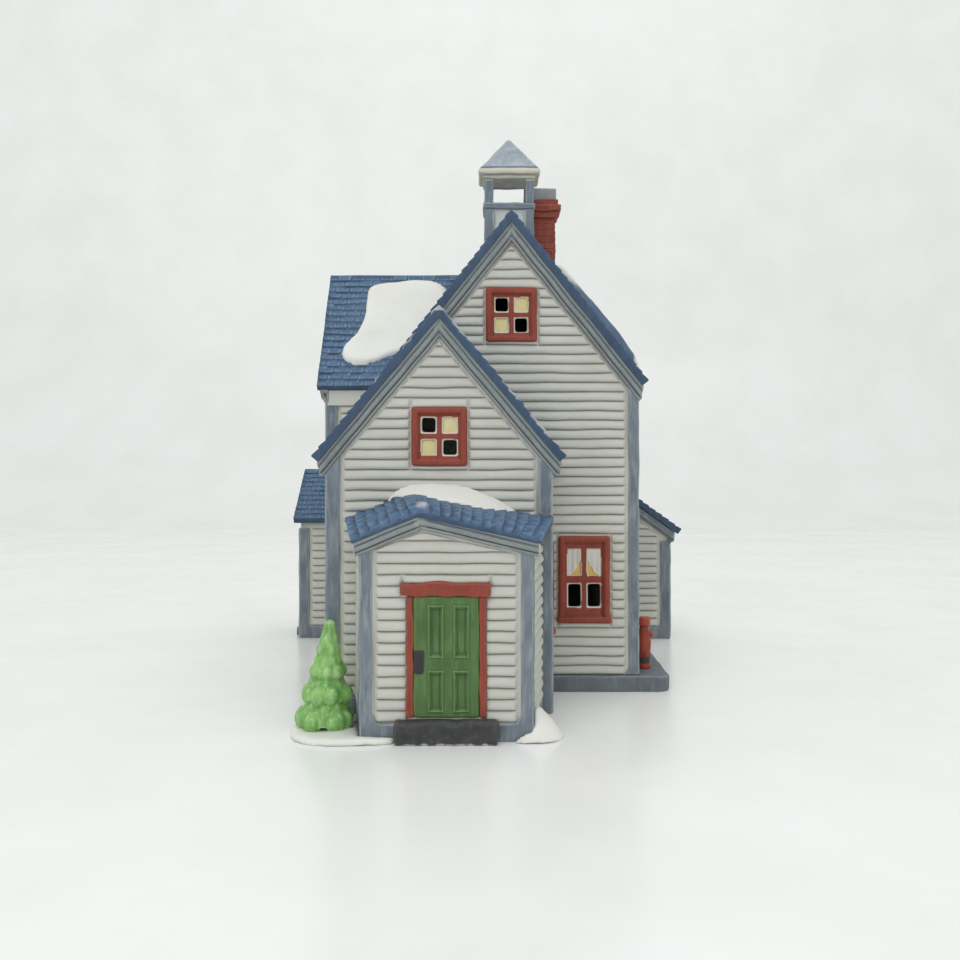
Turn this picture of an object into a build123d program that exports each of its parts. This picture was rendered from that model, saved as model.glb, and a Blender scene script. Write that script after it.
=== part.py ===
from build123d import *
import os
from dataclasses import dataclass
from math import atan2, cos, degrees, hypot, pi, sin, tan

os.makedirs("parts", exist_ok=True)

# Driving dimensions, in millimetres. X runs to the right of the front, Y to the rear, Z up.

# Castings
wall = 3.2                      # thickness of every wall
floor = 3.0                     # thickness of the closed floors
lap = 0.5                       # how deep a relief is rooted in its wall
overrun = 2.0                   # how far a cut runs past the face that it opens
slip = 0.05                     # film of slip between two cast faces that are not square

# Clapboards and painted trim
board_pitch = 3.1               # height of one clapboard
board_butt = 0.75               # how far a board's lower edge stands out
board_tip = 0.12                # how far its upper edge stands out
board_margin = 1.1              # plain wall between a board's end and the trim
corner_width = 3.6              # face of a corner board
corner_proud = 0.95             # how far a corner board stands out
base_band = 5.3                 # height of the base boards
base_proud = 0.8                # how far a base board stands out
frieze_proud = 1.3              # plain band under an eave

# Roofs
roof_skin = 2.3                 # thickness square to the slope
course_pitch = 3.3              # one course of shingles up the slope
course_butt = 0.6               # thickness of a shingle's lower edge
rake_overhang = 3.6             # roof past the gable wall
rake_board = 2.6                # width of the rake board
rake_board_proud = 2.5
rake_bead = 1.0                 # narrow moulding under the rake board
rake_bead_proud = 1.5

# Main block
main_half = 41.1
main_depth = 128.0
main_ridge = 157.6
main_eave = 101.7
main_overhang = 3.4
plinth_height = 5.3
plinth_ledge = 2.0
foot_ring = 5.0                 # width of the ring that the house stands on
foot_recess = 1.6
ledge_width = 11.1              # side ledge, beyond the right wall
ledge_depth = 58.0
ledge_round = 4.0

# Front wing
wing_offset = 22.6              # left of the main ridge
wing_half = 33.5
wing_depth = 30.0
wing_ridge = 122.8
wing_eave = 77.5
wing_overhang = 4.4

# Vestibule, wider at the back than at the front
vestibule_offset = 19.5         # left of the main ridge
vestibule_front_half = 22.95
vestibule_back_half = 27.6
vestibule_depth = 31.0
vestibule_overhang = 3.4
vestibule_eave_reach = 3.9      # eaves past the side walls
vestibule_front_ridge = 64.4
vestibule_back_ridge = 66.8
vestibule_front_eave = 56.5
vestibule_ridge_shift = 7.0     # ridge left of the vestibule's middle, at the front
vestibule_ridge_skew = 3.8      # and how much further left it is at the back

# Left wing, with its ridge across the house
left_wing_front = 36.0          # behind the main front wall
left_wing_half = 34.0
left_wing_reach = 24.2          # beyond the main left wall
left_wing_ridge = 147.2
left_wing_eave = 101.8
left_wing_overhang = 3.0

# Lean-tos at the rear
left_lean_front = 96.6
left_lean_reach = 43.8
left_lean_eave = 50.0
left_lean_top = 69.7
right_lean_front = 95.0
right_lean_reach = 26.9
right_lean_eave = 45.5
right_lean_top = 68.3
lean_overhang = 3.6
lean_back_inset = 7.5           # lean-tos end this far before the rear wall
lean_side_overhang = 2.6
right_lean_overhang = 4.5
side_door_height = 27.0
side_door_width = 13.0
passage_width = 30.0            # opening from the main block into the left wing
passage_low = 14.0
passage_high = 70.0

# Windows
window_width = 16.8
window_height = 17.8
tall_height = 28.6
pane_width = 4.4
pane_height = 4.7
upper_pane_height = 8.6
lower_pane_height = 7.8
muntin = 2.0
tall_rail = 2.6
frame_proud = 1.0
border_proud = 1.6
border_width = 2.0
sill_height = 3.0
sill_proud = 2.2
sill_horn = 0.7
window_lap = 1.2                # frame over the edge of the hole in the wall
plug_depth = 1.8
plug_play = 0.2
wing_window_centre = 83.6
main_window_centre = 123.6
tall_window_centre = 36.7
tall_window_right = 23.9        # tall front window, right of the main ridge
side_window_gap = 30.0          # from one tall window of a side wall to the next
left_gable_window = 105.0
rear_window_centre = 112.0
right_window_first = 30.0       # behind the main front wall
left_window_back = 18.0
pane_thickness = 0.8
pane_recess = 0.9

# Front door
door_width = 18.0
door_height = 33.1
door_sill = 6.8
door_proud = 1.0
jamb_width = 1.9
jamb_proud = 1.7
lintel_width = 24.9
lintel_height = 3.8
lintel_proud = 2.4
panel_width = 2.9
upper_panel_height = 14.6
lower_panel_height = 11.6
panel_depth = 0.55
panel_bead = 0.85
panel_shift = 0.6               # panels off the middle, away from the latch
panel_gap = 2.4                 # rail between two panels
latch_width = 3.1
latch_height = 6.8
latch_proud = 0.7
latch_centre = 22.1
step_width = 28.3
step_height = 6.6
step_depth = 4.0
step_round = 1.2
side_step_width = 7.0
side_step_height = 4.2

# Cupola and chimney
cupola_back = 33.0              # behind the main front wall
cupola_side = 17.4
cupola_rail_top = 166.0
cupola_rail_height = 2.2
cupola_rail_proud = 0.5
cupola_panel_inset = 0.9
cupola_post = 3.1
cupola_beam_low = 174.4
cupola_eave = 177.0
cupola_apex = 190.0
cupola_roof_side = 21.7
cupola_roof_edge = 1.3
cupola_tip = 1.2
chimney_offset = 13.1           # right of the main ridge
chimney_back = 51.0
chimney_side = 9.2
brick_pitch = 2.3
brick_joint = 0.45
brick_inset = 0.35
chimney_neck = 165.0
chimney_head_top = 171.6
chimney_head_flare = 2.0
chimney_top = 176.0
cap_side = 9.8
cap_flue = 4.4

# Yard
pump_height = 17.3
pump_radius = 2.35
pump_offset = 4.2               # right of the main right wall
pump_back = 10.5
tree_height = 30.0
tree_radius = 8.6
tree_left = 54.2                # left of the main ridge
tree_front = 50.5               # in front of the main front wall
tree_tip = 0.4
tree_sides = 11
drift_height = 1.8
drift_round = 1.0
drift_front = 66.2
drift_left = 63.8
mound_height = 8.6
mound_reach = 9.2
mound_depth = 11.0

# Snow on the roofs
snow_thick = 3.9
left_snow_thick = 2.2
roof_snow_length = 38.0
heap_width = 43.0
heap_shift = 13.0               # middle of the heap, right of the vestibule ridge
heap_rise = 3.7                 # above the ridge
heap_sink = 7.0                 # middle of the heap, below the ridge
heap_depth = 9.0

# Lamp in the rear wall
lamp_height = 36.0
lamp_hole_radius = 14.3
socket_radius = 9.6
socket_tail = 7.0               # behind the rear wall
socket_inside = 24.0
socket_mouth_radius = 6.5
clip_thickness = 0.6
clip_play = 0.1
clip_collar = 6.0
clip_width = 8.0
clip_clearance = 0.4
clip_finger = 5.0
contact_radius = 4.0
contact_thickness = 0.8
cord_radius = 2.4
bulb_base_radius = 5.9
bulb_base_length = 13.0
bulb_radius = 11.0
bulb_length = 40.0
bulb_neck_radius = 5.2
bulb_skin = 0.8
bulb_nose_radius = 5.6
bulb_nose_length = 4.4
bulb_tip_radius = 2.6
bulb_base_gap = 0.4

# Shares of the tree, the ornament and the bulb
tier_low_shares = (0.0, 0.26, 0.46, 0.68)
tier_radius_shares = (1.0, 0.86, 0.66, 0.44)
tier_neck_share = 0.55
tier_skirt_share = 0.42
tier_shoulder_share = 0.88
pump_height_shares = (0.0, 0.09, 0.09, 0.5, 0.84, 0.84, 1.0, 1.0)
pump_radius_shares = (0.9, 0.9, 0.72, 1.0, 0.6, 0.86, 0.86, 0.0)
spout_radius_share = 0.42
spout_reach_share = 1.25
spout_height_share = 0.67
roof_snow_down_shares = (0.3, 0.55, 0.86, 0.97, 0.95, 0.76, 0.5, 0.32)
roof_snow_back_shares = (0.14, 0.06, 0.05, 0.3, 0.72, 0.97, 0.8, 0.5)
left_snow_along_shares = (0.0, 0.08, 0.3, 0.55, 1.0, 1.0, 0.45, 0.26, 0.21, 0.2, 0.11)
left_snow_up_shares = (0.23, 0.17, 0.16, 0.24, 0.3, 0.94, 0.94, 0.9, 0.76, 0.58, 0.41)
snow_top_share = 0.88
heap_front_share = 0.62
bulb_widest_share = 0.4

# From a corner to the ends of the boards
board_inset = corner_width + board_margin

# Whole piece: the origin is under the middle of its box
reach_left = main_half + left_lean_reach + lean_side_overhang
reach_right = main_half + right_lean_reach + right_lean_overhang
reach_back = main_depth + socket_tail
ridge_x = (reach_left - reach_right) / 2
main_front = (drift_front - reach_back) / 2
main_back = main_front + main_depth
main_left = ridge_x - main_half
main_right = ridge_x + main_half


def front(y):
    """Plane at depth y whose sketch runs along X and Z and faces the viewer."""
    return Plane(origin=(0, y, 0), x_dir=(1, 0, 0), z_dir=(0, -1, 0))


def side(x):
    """Plane at width x whose sketch runs along Y and Z and faces right."""
    return Plane(origin=(x, 0, 0), x_dir=(0, 1, 0), z_dir=(1, 0, 0))


def courses(low, high):
    """Points of stepped shingle courses from the eave point low up to the ridge point high."""
    along, rise = high[0] - low[0], high[1] - low[1]
    length = hypot(along, rise)
    out = (-rise / length * (1 if along > 0 else -1) * course_butt, abs(along) / length * course_butt)
    count = max(1, round(length / course_pitch))
    points = []
    for i in range(count):
        points.append((low[0] + along * i / count + out[0], low[1] + rise * i / count + out[1]))
        points.append((low[0] + along * (i + 1) / count, low[1] + rise * (i + 1) / count))
    return points


def sunk(low, high):
    """The eave point low, moved square to its slope by the thickness of the roof."""
    along, rise = high[0] - low[0], high[1] - low[1]
    length = hypot(along, rise)
    return (
        low[0] + rise / length * (1 if along > 0 else -1) * roof_skin,
        low[1] - abs(along) / length * roof_skin,
    )


def polygon(plane, points):
    """Draws a closed outline on a plane."""
    with BuildSketch(plane) as sketch:
        with BuildLine():
            Polyline(*points, close=True)
        make_face()
    return sketch.sketch


@dataclass
class Gable:
    """Pitched block seen along its ridge: p runs across the ridge and z runs up."""

    centre: float
    half: float
    ridge: float
    eave: float
    overhang: float

    @property
    def reach(self):
        return self.half + self.overhang

    @property
    def angle(self):
        return atan2(self.ridge - self.eave, self.reach)

    def outer(self, p):
        """Height of the shingles' foot line at p."""
        return self.ridge - tan(self.angle) * abs(p - self.centre)

    def under(self, p, below=0):
        """Height under the roof at p, or of a line square below it."""
        return self.outer(p) - (roof_skin + below) / cos(self.angle)

    def walls(self, base):
        """Outline of the end wall."""
        left, right = self.centre - self.half, self.centre + self.half
        return [
            (left, base),
            (right, base),
            (right, self.under(right)),
            (self.centre, self.under(self.centre)),
            (left, self.under(left)),
        ]

    def slope(self):
        """Stepped outside of both slopes, from the right eave to the left."""
        apex = (self.centre, self.ridge)
        right = courses((self.centre + self.reach, self.eave), apex)
        left = courses((self.centre - self.reach, self.eave), apex)
        return right + left[-2::-1]

    def roof(self):
        """Outline of the roof casting."""
        apex = (self.centre, self.ridge)
        return self.slope() + [
            sunk((self.centre - self.reach, self.eave), apex),
            (self.centre, self.under(self.centre)),
            sunk((self.centre + self.reach, self.eave), apex),
        ]

    def envelope(self):
        """All that lies under the outside of the roof."""
        points = self.slope()
        return points + [(points[-1][0], 0), (points[0][0], 0)]

    def chevron(self, top, bottom):
        """Band that runs under both slopes between two depths square to them."""
        reach = self.reach - roof_skin * sin(self.angle)
        ends = (self.centre + reach, self.centre, self.centre - reach)
        return [(p, self.under(p, top)) for p in ends] + [(p, self.under(p, bottom)) for p in reversed(ends)]

    def face(self, base, inset):
        """Part of the end wall that the clapboards cover."""
        left, right = self.centre - self.half + inset, self.centre + self.half - inset
        below = rake_board + rake_bead + board_margin
        return [
            (left, base),
            (right, base),
            (right, self.under(right, below)),
            (self.centre, self.under(self.centre, below)),
            (left, self.under(left, below)),
        ]

    @property
    def corner_top(self):
        """Height at which a corner board meets the rake boards."""
        return self.under(self.centre + self.half + corner_proud, rake_board + rake_bead)


main = Gable(ridge_x, main_half, main_ridge, main_eave, main_overhang)
wing = Gable(ridge_x - wing_offset, wing_half, wing_ridge, wing_eave, wing_overhang)
left_ridge_y = main_front + left_wing_front + left_wing_half
left_wing = Gable(left_ridge_y, left_wing_half, left_wing_ridge, left_wing_eave, left_wing_overhang)

wing_front = main_front - wing_depth
wing_left = wing.centre - wing_half
wing_right = wing.centre + wing_half
left_wing_x = main_left - left_wing_reach
left_wing_y = main_front + left_wing_front
left_wing_back = left_wing_y + 2 * left_wing_half

vestibule_x = ridge_x - vestibule_offset
vestibule_front = wing_front - vestibule_depth
vestibule_plan = [
    (vestibule_x - vestibule_back_half, wing_front),
    (vestibule_x - vestibule_front_half, vestibule_front),
    (vestibule_x + vestibule_front_half, vestibule_front),
    (vestibule_x + vestibule_back_half, wing_front),
]

left_lean_x = main_left - left_lean_reach
left_lean_y = main_front + left_lean_front
right_lean_x = main_right + right_lean_reach
right_lean_y = main_front + right_lean_front


def step_along(a, b, distance):
    """Point at a distance from a towards b."""
    length = hypot(b[0] - a[0], b[1] - a[1])
    return (a[0] + (b[0] - a[0]) * distance / length, a[1] + (b[1] - a[1]) * distance / length)


def outward(a, b):
    """Normal on the right of the way from a to b."""
    length = hypot(b[0] - a[0], b[1] - a[1])
    return ((b[1] - a[1]) / length, (a[0] - b[0]) / length)


def moved(point, normal, distance):
    return (point[0] + normal[0] * distance, point[1] + normal[1] * distance)


def clapboards(a, b, low, high, plane=None, face=None):
    """Band of clapboards on the wall from a to b, trimmed to an outline on a plane when one is given."""
    normal = outward(a, b)
    run = hypot(b[0] - a[0], b[1] - a[1])
    section = Plane(
        origin=(b[0], b[1], 0), x_dir=(normal[0], normal[1], 0), z_dir=(a[0] - b[0], a[1] - b[1], 0)
    )
    points = [(-lap, low)]
    z = low
    while z < high:
        top = min(z + board_pitch, high)
        points += [(board_butt, z), (board_tip, top)]
        z = z + board_pitch
    points.append((-lap, high))
    with BuildPart() as band:
        extrude(polygon(section, points), amount=run)
        if face:
            extrude(polygon(plane, face), amount=overrun, both=True, mode=Mode.INTERSECT)
    return band.part


def corner_plan(before, corner, after):
    """Plan of a corner board round the corner of two walls."""
    first, second = outward(before, corner), outward(corner, after)
    spread = 1 + first[0] * second[0] + first[1] * second[1]
    tip = (
        corner[0] + (first[0] + second[0]) * corner_proud / spread,
        corner[1] + (first[1] + second[1]) * corner_proud / spread,
    )
    back = step_along(corner, before, corner_width)
    on = step_along(corner, after, corner_width)
    return [corner, back, moved(back, first, corner_proud), tip, moved(on, second, corner_proud), on]


def trim(path, base, top, banded=True):
    """Corner boards at the inner points of a path round a block, and base boards between them."""
    with BuildPart() as boards:
        for before, corner, after in zip(path, path[1:], path[2:]):
            extrude(polygon(Plane.XY.offset(base), corner_plan(before, corner, after)), amount=top - base)
        for i, (a, b) in enumerate(zip(path, path[1:])):
            start = a if i == 0 else step_along(a, b, corner_width)
            end = b if i == len(path) - 2 else step_along(b, a, corner_width)
            normal = outward(a, b)
            strip = [start, moved(start, normal, base_proud), moved(end, normal, base_proud), end]
            if banded:
                extrude(polygon(Plane.XY.offset(base), strip), amount=base_band)
    return boards.part


def rake_boards(gable, ends):
    """Rake boards with their lower moulding; each end is a plane on the gable wall and the way out of it."""
    with BuildPart() as boards:
        for plane, way in ends:
            extrude(polygon(plane, gable.chevron(0, rake_board)), amount=way * rake_board_proud)
            bead = gable.chevron(rake_board, rake_board + rake_bead)
            extrude(polygon(plane, bead), amount=way * rake_bead_proud)
    return boards.part


def save(part, name):
    part.label = name
    export_step(part, "parts/" + name + ".step")


# Planes of the windows: origin in the middle of the window on the wall's face
front_facing = {"x_dir": (1, 0, 0), "z_dir": (0, -1, 0)}
rear_facing = {"x_dir": (-1, 0, 0), "z_dir": (0, 1, 0)}
right_facing = {"x_dir": (0, 1, 0), "z_dir": (1, 0, 0)}
left_facing = {"x_dir": (0, -1, 0), "z_dir": (-1, 0, 0)}

small_windows = {
    "wing_gable_window": Plane(origin=(wing.centre + slip, wing_front, wing_window_centre), **front_facing),
    "main_gable_window": Plane(origin=(ridge_x, main_front, main_window_centre), **front_facing),
    "rear_gable_window": Plane(origin=(ridge_x, main_back, rear_window_centre), **rear_facing),
    "left_gable_window": Plane(origin=(left_wing_x, left_ridge_y, left_gable_window), **left_facing),
}
tall_windows = {
    "main_front_window": Plane(
        origin=(ridge_x + tall_window_right, main_front, tall_window_centre), **front_facing
    ),
    "wing_side_window": Plane(
        origin=(wing_right, wing_front + wing_depth / 2, tall_window_centre), **right_facing
    ),
    "right_window_front": Plane(
        origin=(main_right, main_front + right_window_first, tall_window_centre), **right_facing
    ),
    "right_window_rear": Plane(
        origin=(main_right, main_front + right_window_first + side_window_gap, tall_window_centre),
        **right_facing,
    ),
    "left_window": Plane(
        origin=(main_left, main_front + left_window_back, tall_window_centre), **left_facing
    ),
}


def open_window(plane, height):
    """Cuts the seat and the hole of a window into the wall that is being built."""
    with BuildSketch(plane) as seat:
        Rectangle(window_width + 2 * sill_horn, height)
    extrude(seat.sketch, amount=sill_proud, mode=Mode.SUBTRACT)
    with BuildSketch(plane) as hole:
        Rectangle(window_width - 2 * window_lap, height - 2 * window_lap)
    extrude(hole.sketch, amount=-wall - overrun, mode=Mode.SUBTRACT)


def pane_cells(tall):
    """Middle, width and height of the four panes, row by row from the top left."""
    across = (pane_width + muntin) / 2
    if not tall:
        up = (pane_height + muntin) / 2
        return [(x, z, pane_height) for z in (up, -up) for x in (-across, across)]
    rows = [((tall_rail + upper_pane_height) / 2, upper_pane_height),
            (-(tall_rail + lower_pane_height) / 2, lower_pane_height)]
    return [(x, z, height) for z, height in rows for x in (-across, across)]


def window_frame(plane, tall):
    """Window frame with its border, sill and muntins; the plug goes into the hole in the wall."""
    height = tall_height if tall else window_height
    with BuildPart() as frame:
        with BuildSketch(plane):
            Rectangle(window_width, height)
        extrude(amount=frame_proud)
        with BuildSketch(plane):
            Rectangle(window_width - 2 * window_lap - plug_play, height - 2 * window_lap - plug_play)
        extrude(amount=-plug_depth)
        with BuildSketch(plane):
            Rectangle(window_width, height)
            Rectangle(window_width - 2 * border_width, height - 2 * border_width, mode=Mode.SUBTRACT)
        extrude(amount=border_proud)
        with BuildSketch(plane):
            with Locations((0, (sill_height - height) / 2)):
                Rectangle(window_width + 2 * sill_horn, sill_height)
        extrude(amount=sill_proud)
        for x, z, pane in pane_cells(tall):
            with BuildSketch(plane):
                with Locations((x, z)):
                    Rectangle(pane_width, pane)
            extrude(amount=sill_proud + overrun, both=True, mode=Mode.SUBTRACT)
    return frame.part


def panes(windows, tall, chosen):
    """Closed panes, set back in the frames."""
    with BuildPart() as tiles:
        for plane in windows.values():
            for i, (x, z, height) in enumerate(pane_cells(tall)):
                if i in chosen:
                    with BuildSketch(plane.offset(frame_proud - pane_recess)):
                        with Locations((x, z)):
                            Rectangle(pane_width, height)
                    extrude(amount=-pane_thickness)
    return tiles.part


# Main roof, and the space under it that every neighbour is cut back from
with BuildPart() as main_roof:
    extrude(polygon(front(main_front - rake_overhang), main.roof()), amount=-main_depth - 2 * rake_overhang)
save(main_roof.part, "main_roof")

with BuildPart() as main_envelope:
    extrude(
        polygon(front(main_front - rake_overhang), main.envelope()), amount=-main_depth - 2 * rake_overhang
    )

# Front wing roof
with BuildPart() as wing_roof:
    extrude(polygon(front(wing_front - rake_overhang), wing.roof()), amount=-wing_depth - rake_overhang)
    add(main_roof.part, mode=Mode.SUBTRACT)
save(wing_roof.part, "front_wing_roof")

# Left wing roof, which dies into the main slope
with BuildPart() as left_wing_roof:
    extrude(
        polygon(side(left_wing_x - rake_overhang), left_wing.roof()),
        amount=ridge_x - left_wing_x + rake_overhang,
    )
    add(main_envelope.part, mode=Mode.SUBTRACT)
save(left_wing_roof.part, "left_wing_roof")


# Vestibule roof: its two ends differ, so that it narrows and falls towards the front
def vestibule_outline(half, ridge_shift, ridge, eave):
    """Corner points of one end: left eave, ridge, right eave."""
    reach = half + vestibule_eave_reach
    return (vestibule_x - reach, eave), (vestibule_x - ridge_shift, ridge), (vestibule_x + reach, eave)


vestibule_back_eave = vestibule_front_eave + vestibule_back_ridge - vestibule_front_ridge
vestibule_end_half = vestibule_front_half - vestibule_overhang * (
    (vestibule_back_half - vestibule_front_half) / vestibule_depth
)
vestibule_front_end = vestibule_outline(
    vestibule_end_half, vestibule_ridge_shift, vestibule_front_ridge, vestibule_front_eave
)
vestibule_back_end = vestibule_outline(
    vestibule_back_half,
    vestibule_ridge_shift + vestibule_ridge_skew,
    vestibule_back_ridge,
    vestibule_back_eave,
)


def saddle_pair(first, second):
    """Both stepped outlines with the same number of courses."""
    matched = []
    for left, apex, right in (first, second):
        points = []
        for low, reference in ((right, first[2]), (left, first[0])):
            length = hypot(first[1][0] - reference[0], first[1][1] - reference[1])
            count = max(1, round(length / course_pitch))
            flank = []
            for i in range(count):
                for share, lift in ((i / count, course_butt), ((i + 1) / count, 0)):
                    rise = (apex[1] - low[1]) * share + lift
                    flank.append((low[0] + (apex[0] - low[0]) * share, low[1] + rise))
            points += flank if low is right else flank[-2::-1]
        low_edge = [(x, z - roof_skin) for x, z in (left, apex, right)]
        matched.append(points + low_edge)
    return matched


def saddle_envelope(points):
    """All that lies under a stepped outline, whose last three points are its underside."""
    stepped = points[:-3]
    return stepped + [(stepped[-1][0], 0), (stepped[0][0], 0)]


vestibule_front_points, vestibule_back_points = saddle_pair(vestibule_front_end, vestibule_back_end)
with BuildPart() as vestibule_roof:
    loft(
        sections=[
            polygon(front(vestibule_front - vestibule_overhang), vestibule_front_points).face(),
            polygon(front(wing_front), vestibule_back_points).face(),
        ],
        ruled=True,
    )
save(vestibule_roof.part, "vestibule_roof")

# Lean-to outlines, seen across their slope
lean_back = main_back - lean_back_inset
left_lean_low = (left_lean_y - lean_overhang, left_lean_eave)
left_lean_high = (lean_back + lean_overhang, left_lean_top)
right_lean_low = (right_lean_x + right_lean_overhang, right_lean_eave)
right_lean_high = (main_right, right_lean_top)


def shed_height(low, high, p):
    """Height of a shed roof's foot line at p."""
    return low[1] + (high[1] - low[1]) * (p - low[0]) / (high[0] - low[0])


def shed_under(low, high, p, below=0):
    """Height under a shed roof at p."""
    length = hypot(high[0] - low[0], high[1] - low[1])
    return shed_height(low, high, p) - (roof_skin + below) * length / abs(high[0] - low[0])


def shed_roof(low, high):
    """Outline of a shed roof casting with stepped courses and a plumb upper end."""
    return courses(low, high) + [(high[0], shed_under(low, high, high[0])), sunk(low, high)]


def shed_envelope(low, high):
    """All that lies under the outside of a shed roof."""
    points = courses(low, high)
    return points + [(high[0], 0), (points[0][0], 0)]


# Left lean-to: its block is what the left wing leaves free
with BuildPart() as left_wing_core:
    extrude(polygon(side(left_wing_x), left_wing.walls(0)), amount=left_wing_reach)

with BuildPart() as left_lean_block:
    extrude(
        polygon(side(left_lean_x - lean_side_overhang), shed_envelope(left_lean_low, left_lean_high)),
        amount=left_lean_reach + lean_side_overhang,
    )
    add(left_wing_core.part, mode=Mode.SUBTRACT)

with BuildPart() as left_lean_roof:
    extrude(
        polygon(side(left_lean_x - lean_side_overhang), shed_roof(left_lean_low, left_lean_high)),
        amount=left_lean_reach + lean_side_overhang,
    )
    add(left_wing_core.part, mode=Mode.SUBTRACT)
save(left_lean_roof.part, "left_lean_to_roof")

left_lean_path = [
    (main_left, lean_back),
    (left_lean_x, lean_back),
    (left_lean_x, left_lean_y),
    (left_wing_x, left_lean_y),
]
left_lean_plan = left_lean_path + [(left_wing_x, left_wing_back), (main_left, left_wing_back)]
left_lean_room = [
    (main_left, lean_back - wall),
    (left_lean_x + wall, lean_back - wall),
    (left_lean_x + wall, left_lean_y + wall),
    (left_wing_x - wall, left_lean_y + wall),
    (left_wing_x - wall, left_wing_back + wall),
    (main_left, left_wing_back + wall),
]
left_lean_front_top = shed_under(left_lean_low, left_lean_high, left_lean_y - base_proud, rake_board)
left_lean_above = [
    (left_lean_y - overrun, shed_under(left_lean_low, left_lean_high, left_lean_y - overrun)),
    (lean_back + overrun, shed_under(left_lean_low, left_lean_high, lean_back + overrun)),
    (lean_back + overrun, main_eave),
    (left_lean_y - overrun, main_eave),
]
left_lean_side_face = [
    (left_lean_y, base_band),
    (lean_back, base_band),
    (lean_back, shed_under(left_lean_low, left_lean_high, lean_back, rake_bead)),
    (left_lean_y, shed_under(left_lean_low, left_lean_high, left_lean_y, rake_bead)),
]
left_lean_boards = [
    clapboards(
        (left_lean_x + board_inset, left_lean_y),
        (left_wing_x - board_butt, left_lean_y),
        base_band,
        left_lean_front_top,
    ),
    clapboards(
        (left_lean_x, lean_back - board_inset),
        (left_lean_x, left_lean_y + board_inset),
        base_band,
        left_lean_top,
        side(left_lean_x),
        left_lean_side_face,
    ),
    clapboards(
        (main_left - board_inset, lean_back),
        (left_lean_x + board_inset, lean_back),
        base_band,
        left_lean_top - 2 * roof_skin - rake_board,
    ),
]
side_door_y = left_lean_y + (lean_back - left_lean_y) / 2
side_door_plane = Plane(origin=(left_lean_x, side_door_y, base_band), **left_facing)
with BuildPart() as left_lean_walls:
    extrude(polygon(Plane.XY, left_lean_plan), amount=left_lean_top)
    extrude(polygon(Plane.XY.offset(floor), left_lean_room), amount=left_lean_top, mode=Mode.SUBTRACT)
    for boards in left_lean_boards:
        add(boards)
    extrude(
        polygon(side(left_lean_x - overrun), left_lean_above),
        amount=left_lean_reach + 2 * overrun,
        mode=Mode.SUBTRACT,
    )
    with BuildSketch(side_door_plane):
        Rectangle(side_door_width, side_door_height, align=(Align.CENTER, Align.MIN))
    extrude(amount=overrun, mode=Mode.SUBTRACT)
save(left_lean_walls.part, "left_lean_to_walls")

with BuildPart() as left_lean_trim:
    add(trim(left_lean_path, 0, left_lean_front_top))
    with BuildSketch(side_door_plane.offset(0)):
        with Locations((0, -base_band)):
            Rectangle(side_step_width * 2, base_band, align=(Align.CENTER, Align.MIN))
    extrude(amount=overrun, mode=Mode.SUBTRACT)
save(left_lean_trim.part, "left_lean_to_trim")

with BuildPart() as side_step:
    with BuildSketch(Plane(origin=(left_lean_x, side_door_y, 0), **left_facing)):
        Rectangle(side_step_width * 2, side_step_height, align=(Align.CENTER, Align.MIN))
    extrude(amount=lean_side_overhang)
    fillet(side_step.faces().sort_by(Axis.Z)[-1].edges().sort_by(Axis.X)[0], step_round)
save(side_step.part, "side_step")

with BuildPart() as side_door:
    with BuildSketch(side_door_plane):
        Rectangle(side_door_width, side_door_height, align=(Align.CENTER, Align.MIN))
    extrude(amount=door_proud)
    for column in (-1, 1):
        for row in (1, 3):
            with BuildSketch(side_door_plane.offset(door_proud)):
                with Locations((column * side_door_width / 4, row * side_door_height / 4)):
                    Rectangle(side_door_width / 2 - panel_gap, side_door_height / 2 - 2 * panel_gap)
            extrude(amount=-panel_depth, mode=Mode.SUBTRACT)
save(side_door.part, "side_door")

# Right lean-to: its roof falls away from the main wall and its end faces the front
with BuildPart() as right_lean_roof:
    extrude(
        polygon(front(right_lean_y - rake_overhang), shed_roof(right_lean_low, right_lean_high)),
        amount=right_lean_y - lean_back - 2 * rake_overhang,
    )
save(right_lean_roof.part, "right_lean_to_roof")

with BuildPart() as right_lean_block:
    extrude(
        polygon(front(right_lean_y - rake_overhang), shed_roof(right_lean_low, right_lean_high)),
        amount=right_lean_y - lean_back - 2 * rake_overhang,
    )
    extrude(
        polygon(
            front(right_lean_y),
            [
                (main_right, 0),
                (right_lean_x, 0),
                (right_lean_x, right_lean_eave),
                (main_right, right_lean_top),
            ],
        ),
        amount=right_lean_y - lean_back,
    )

right_lean_start = main_right + board_butt
right_lean_path = [
    (right_lean_start, right_lean_y),
    (right_lean_x, right_lean_y),
    (right_lean_x, lean_back),
    (right_lean_start, lean_back),
]
right_lean_above = [
    (main_right, shed_under(right_lean_low, right_lean_high, main_right)),
    (right_lean_x + overrun, shed_under(right_lean_low, right_lean_high, right_lean_x + overrun)),
    (right_lean_x + overrun, main_eave),
    (main_right, main_eave),
]
right_lean_below = rake_board + rake_bead
right_lean_siding = right_lean_below + board_margin
right_lean_face = [
    (main_right + board_butt, base_band),
    (right_lean_x - board_inset, base_band),
    (
        right_lean_x - board_inset,
        shed_under(right_lean_low, right_lean_high, right_lean_x - board_inset, right_lean_siding),
    ),
    (
        main_right + board_butt,
        shed_under(right_lean_low, right_lean_high, main_right + board_butt, right_lean_siding),
    ),
]
right_lean_top_board = shed_under(
    right_lean_low, right_lean_high, right_lean_x + corner_proud, right_lean_below
)
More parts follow.
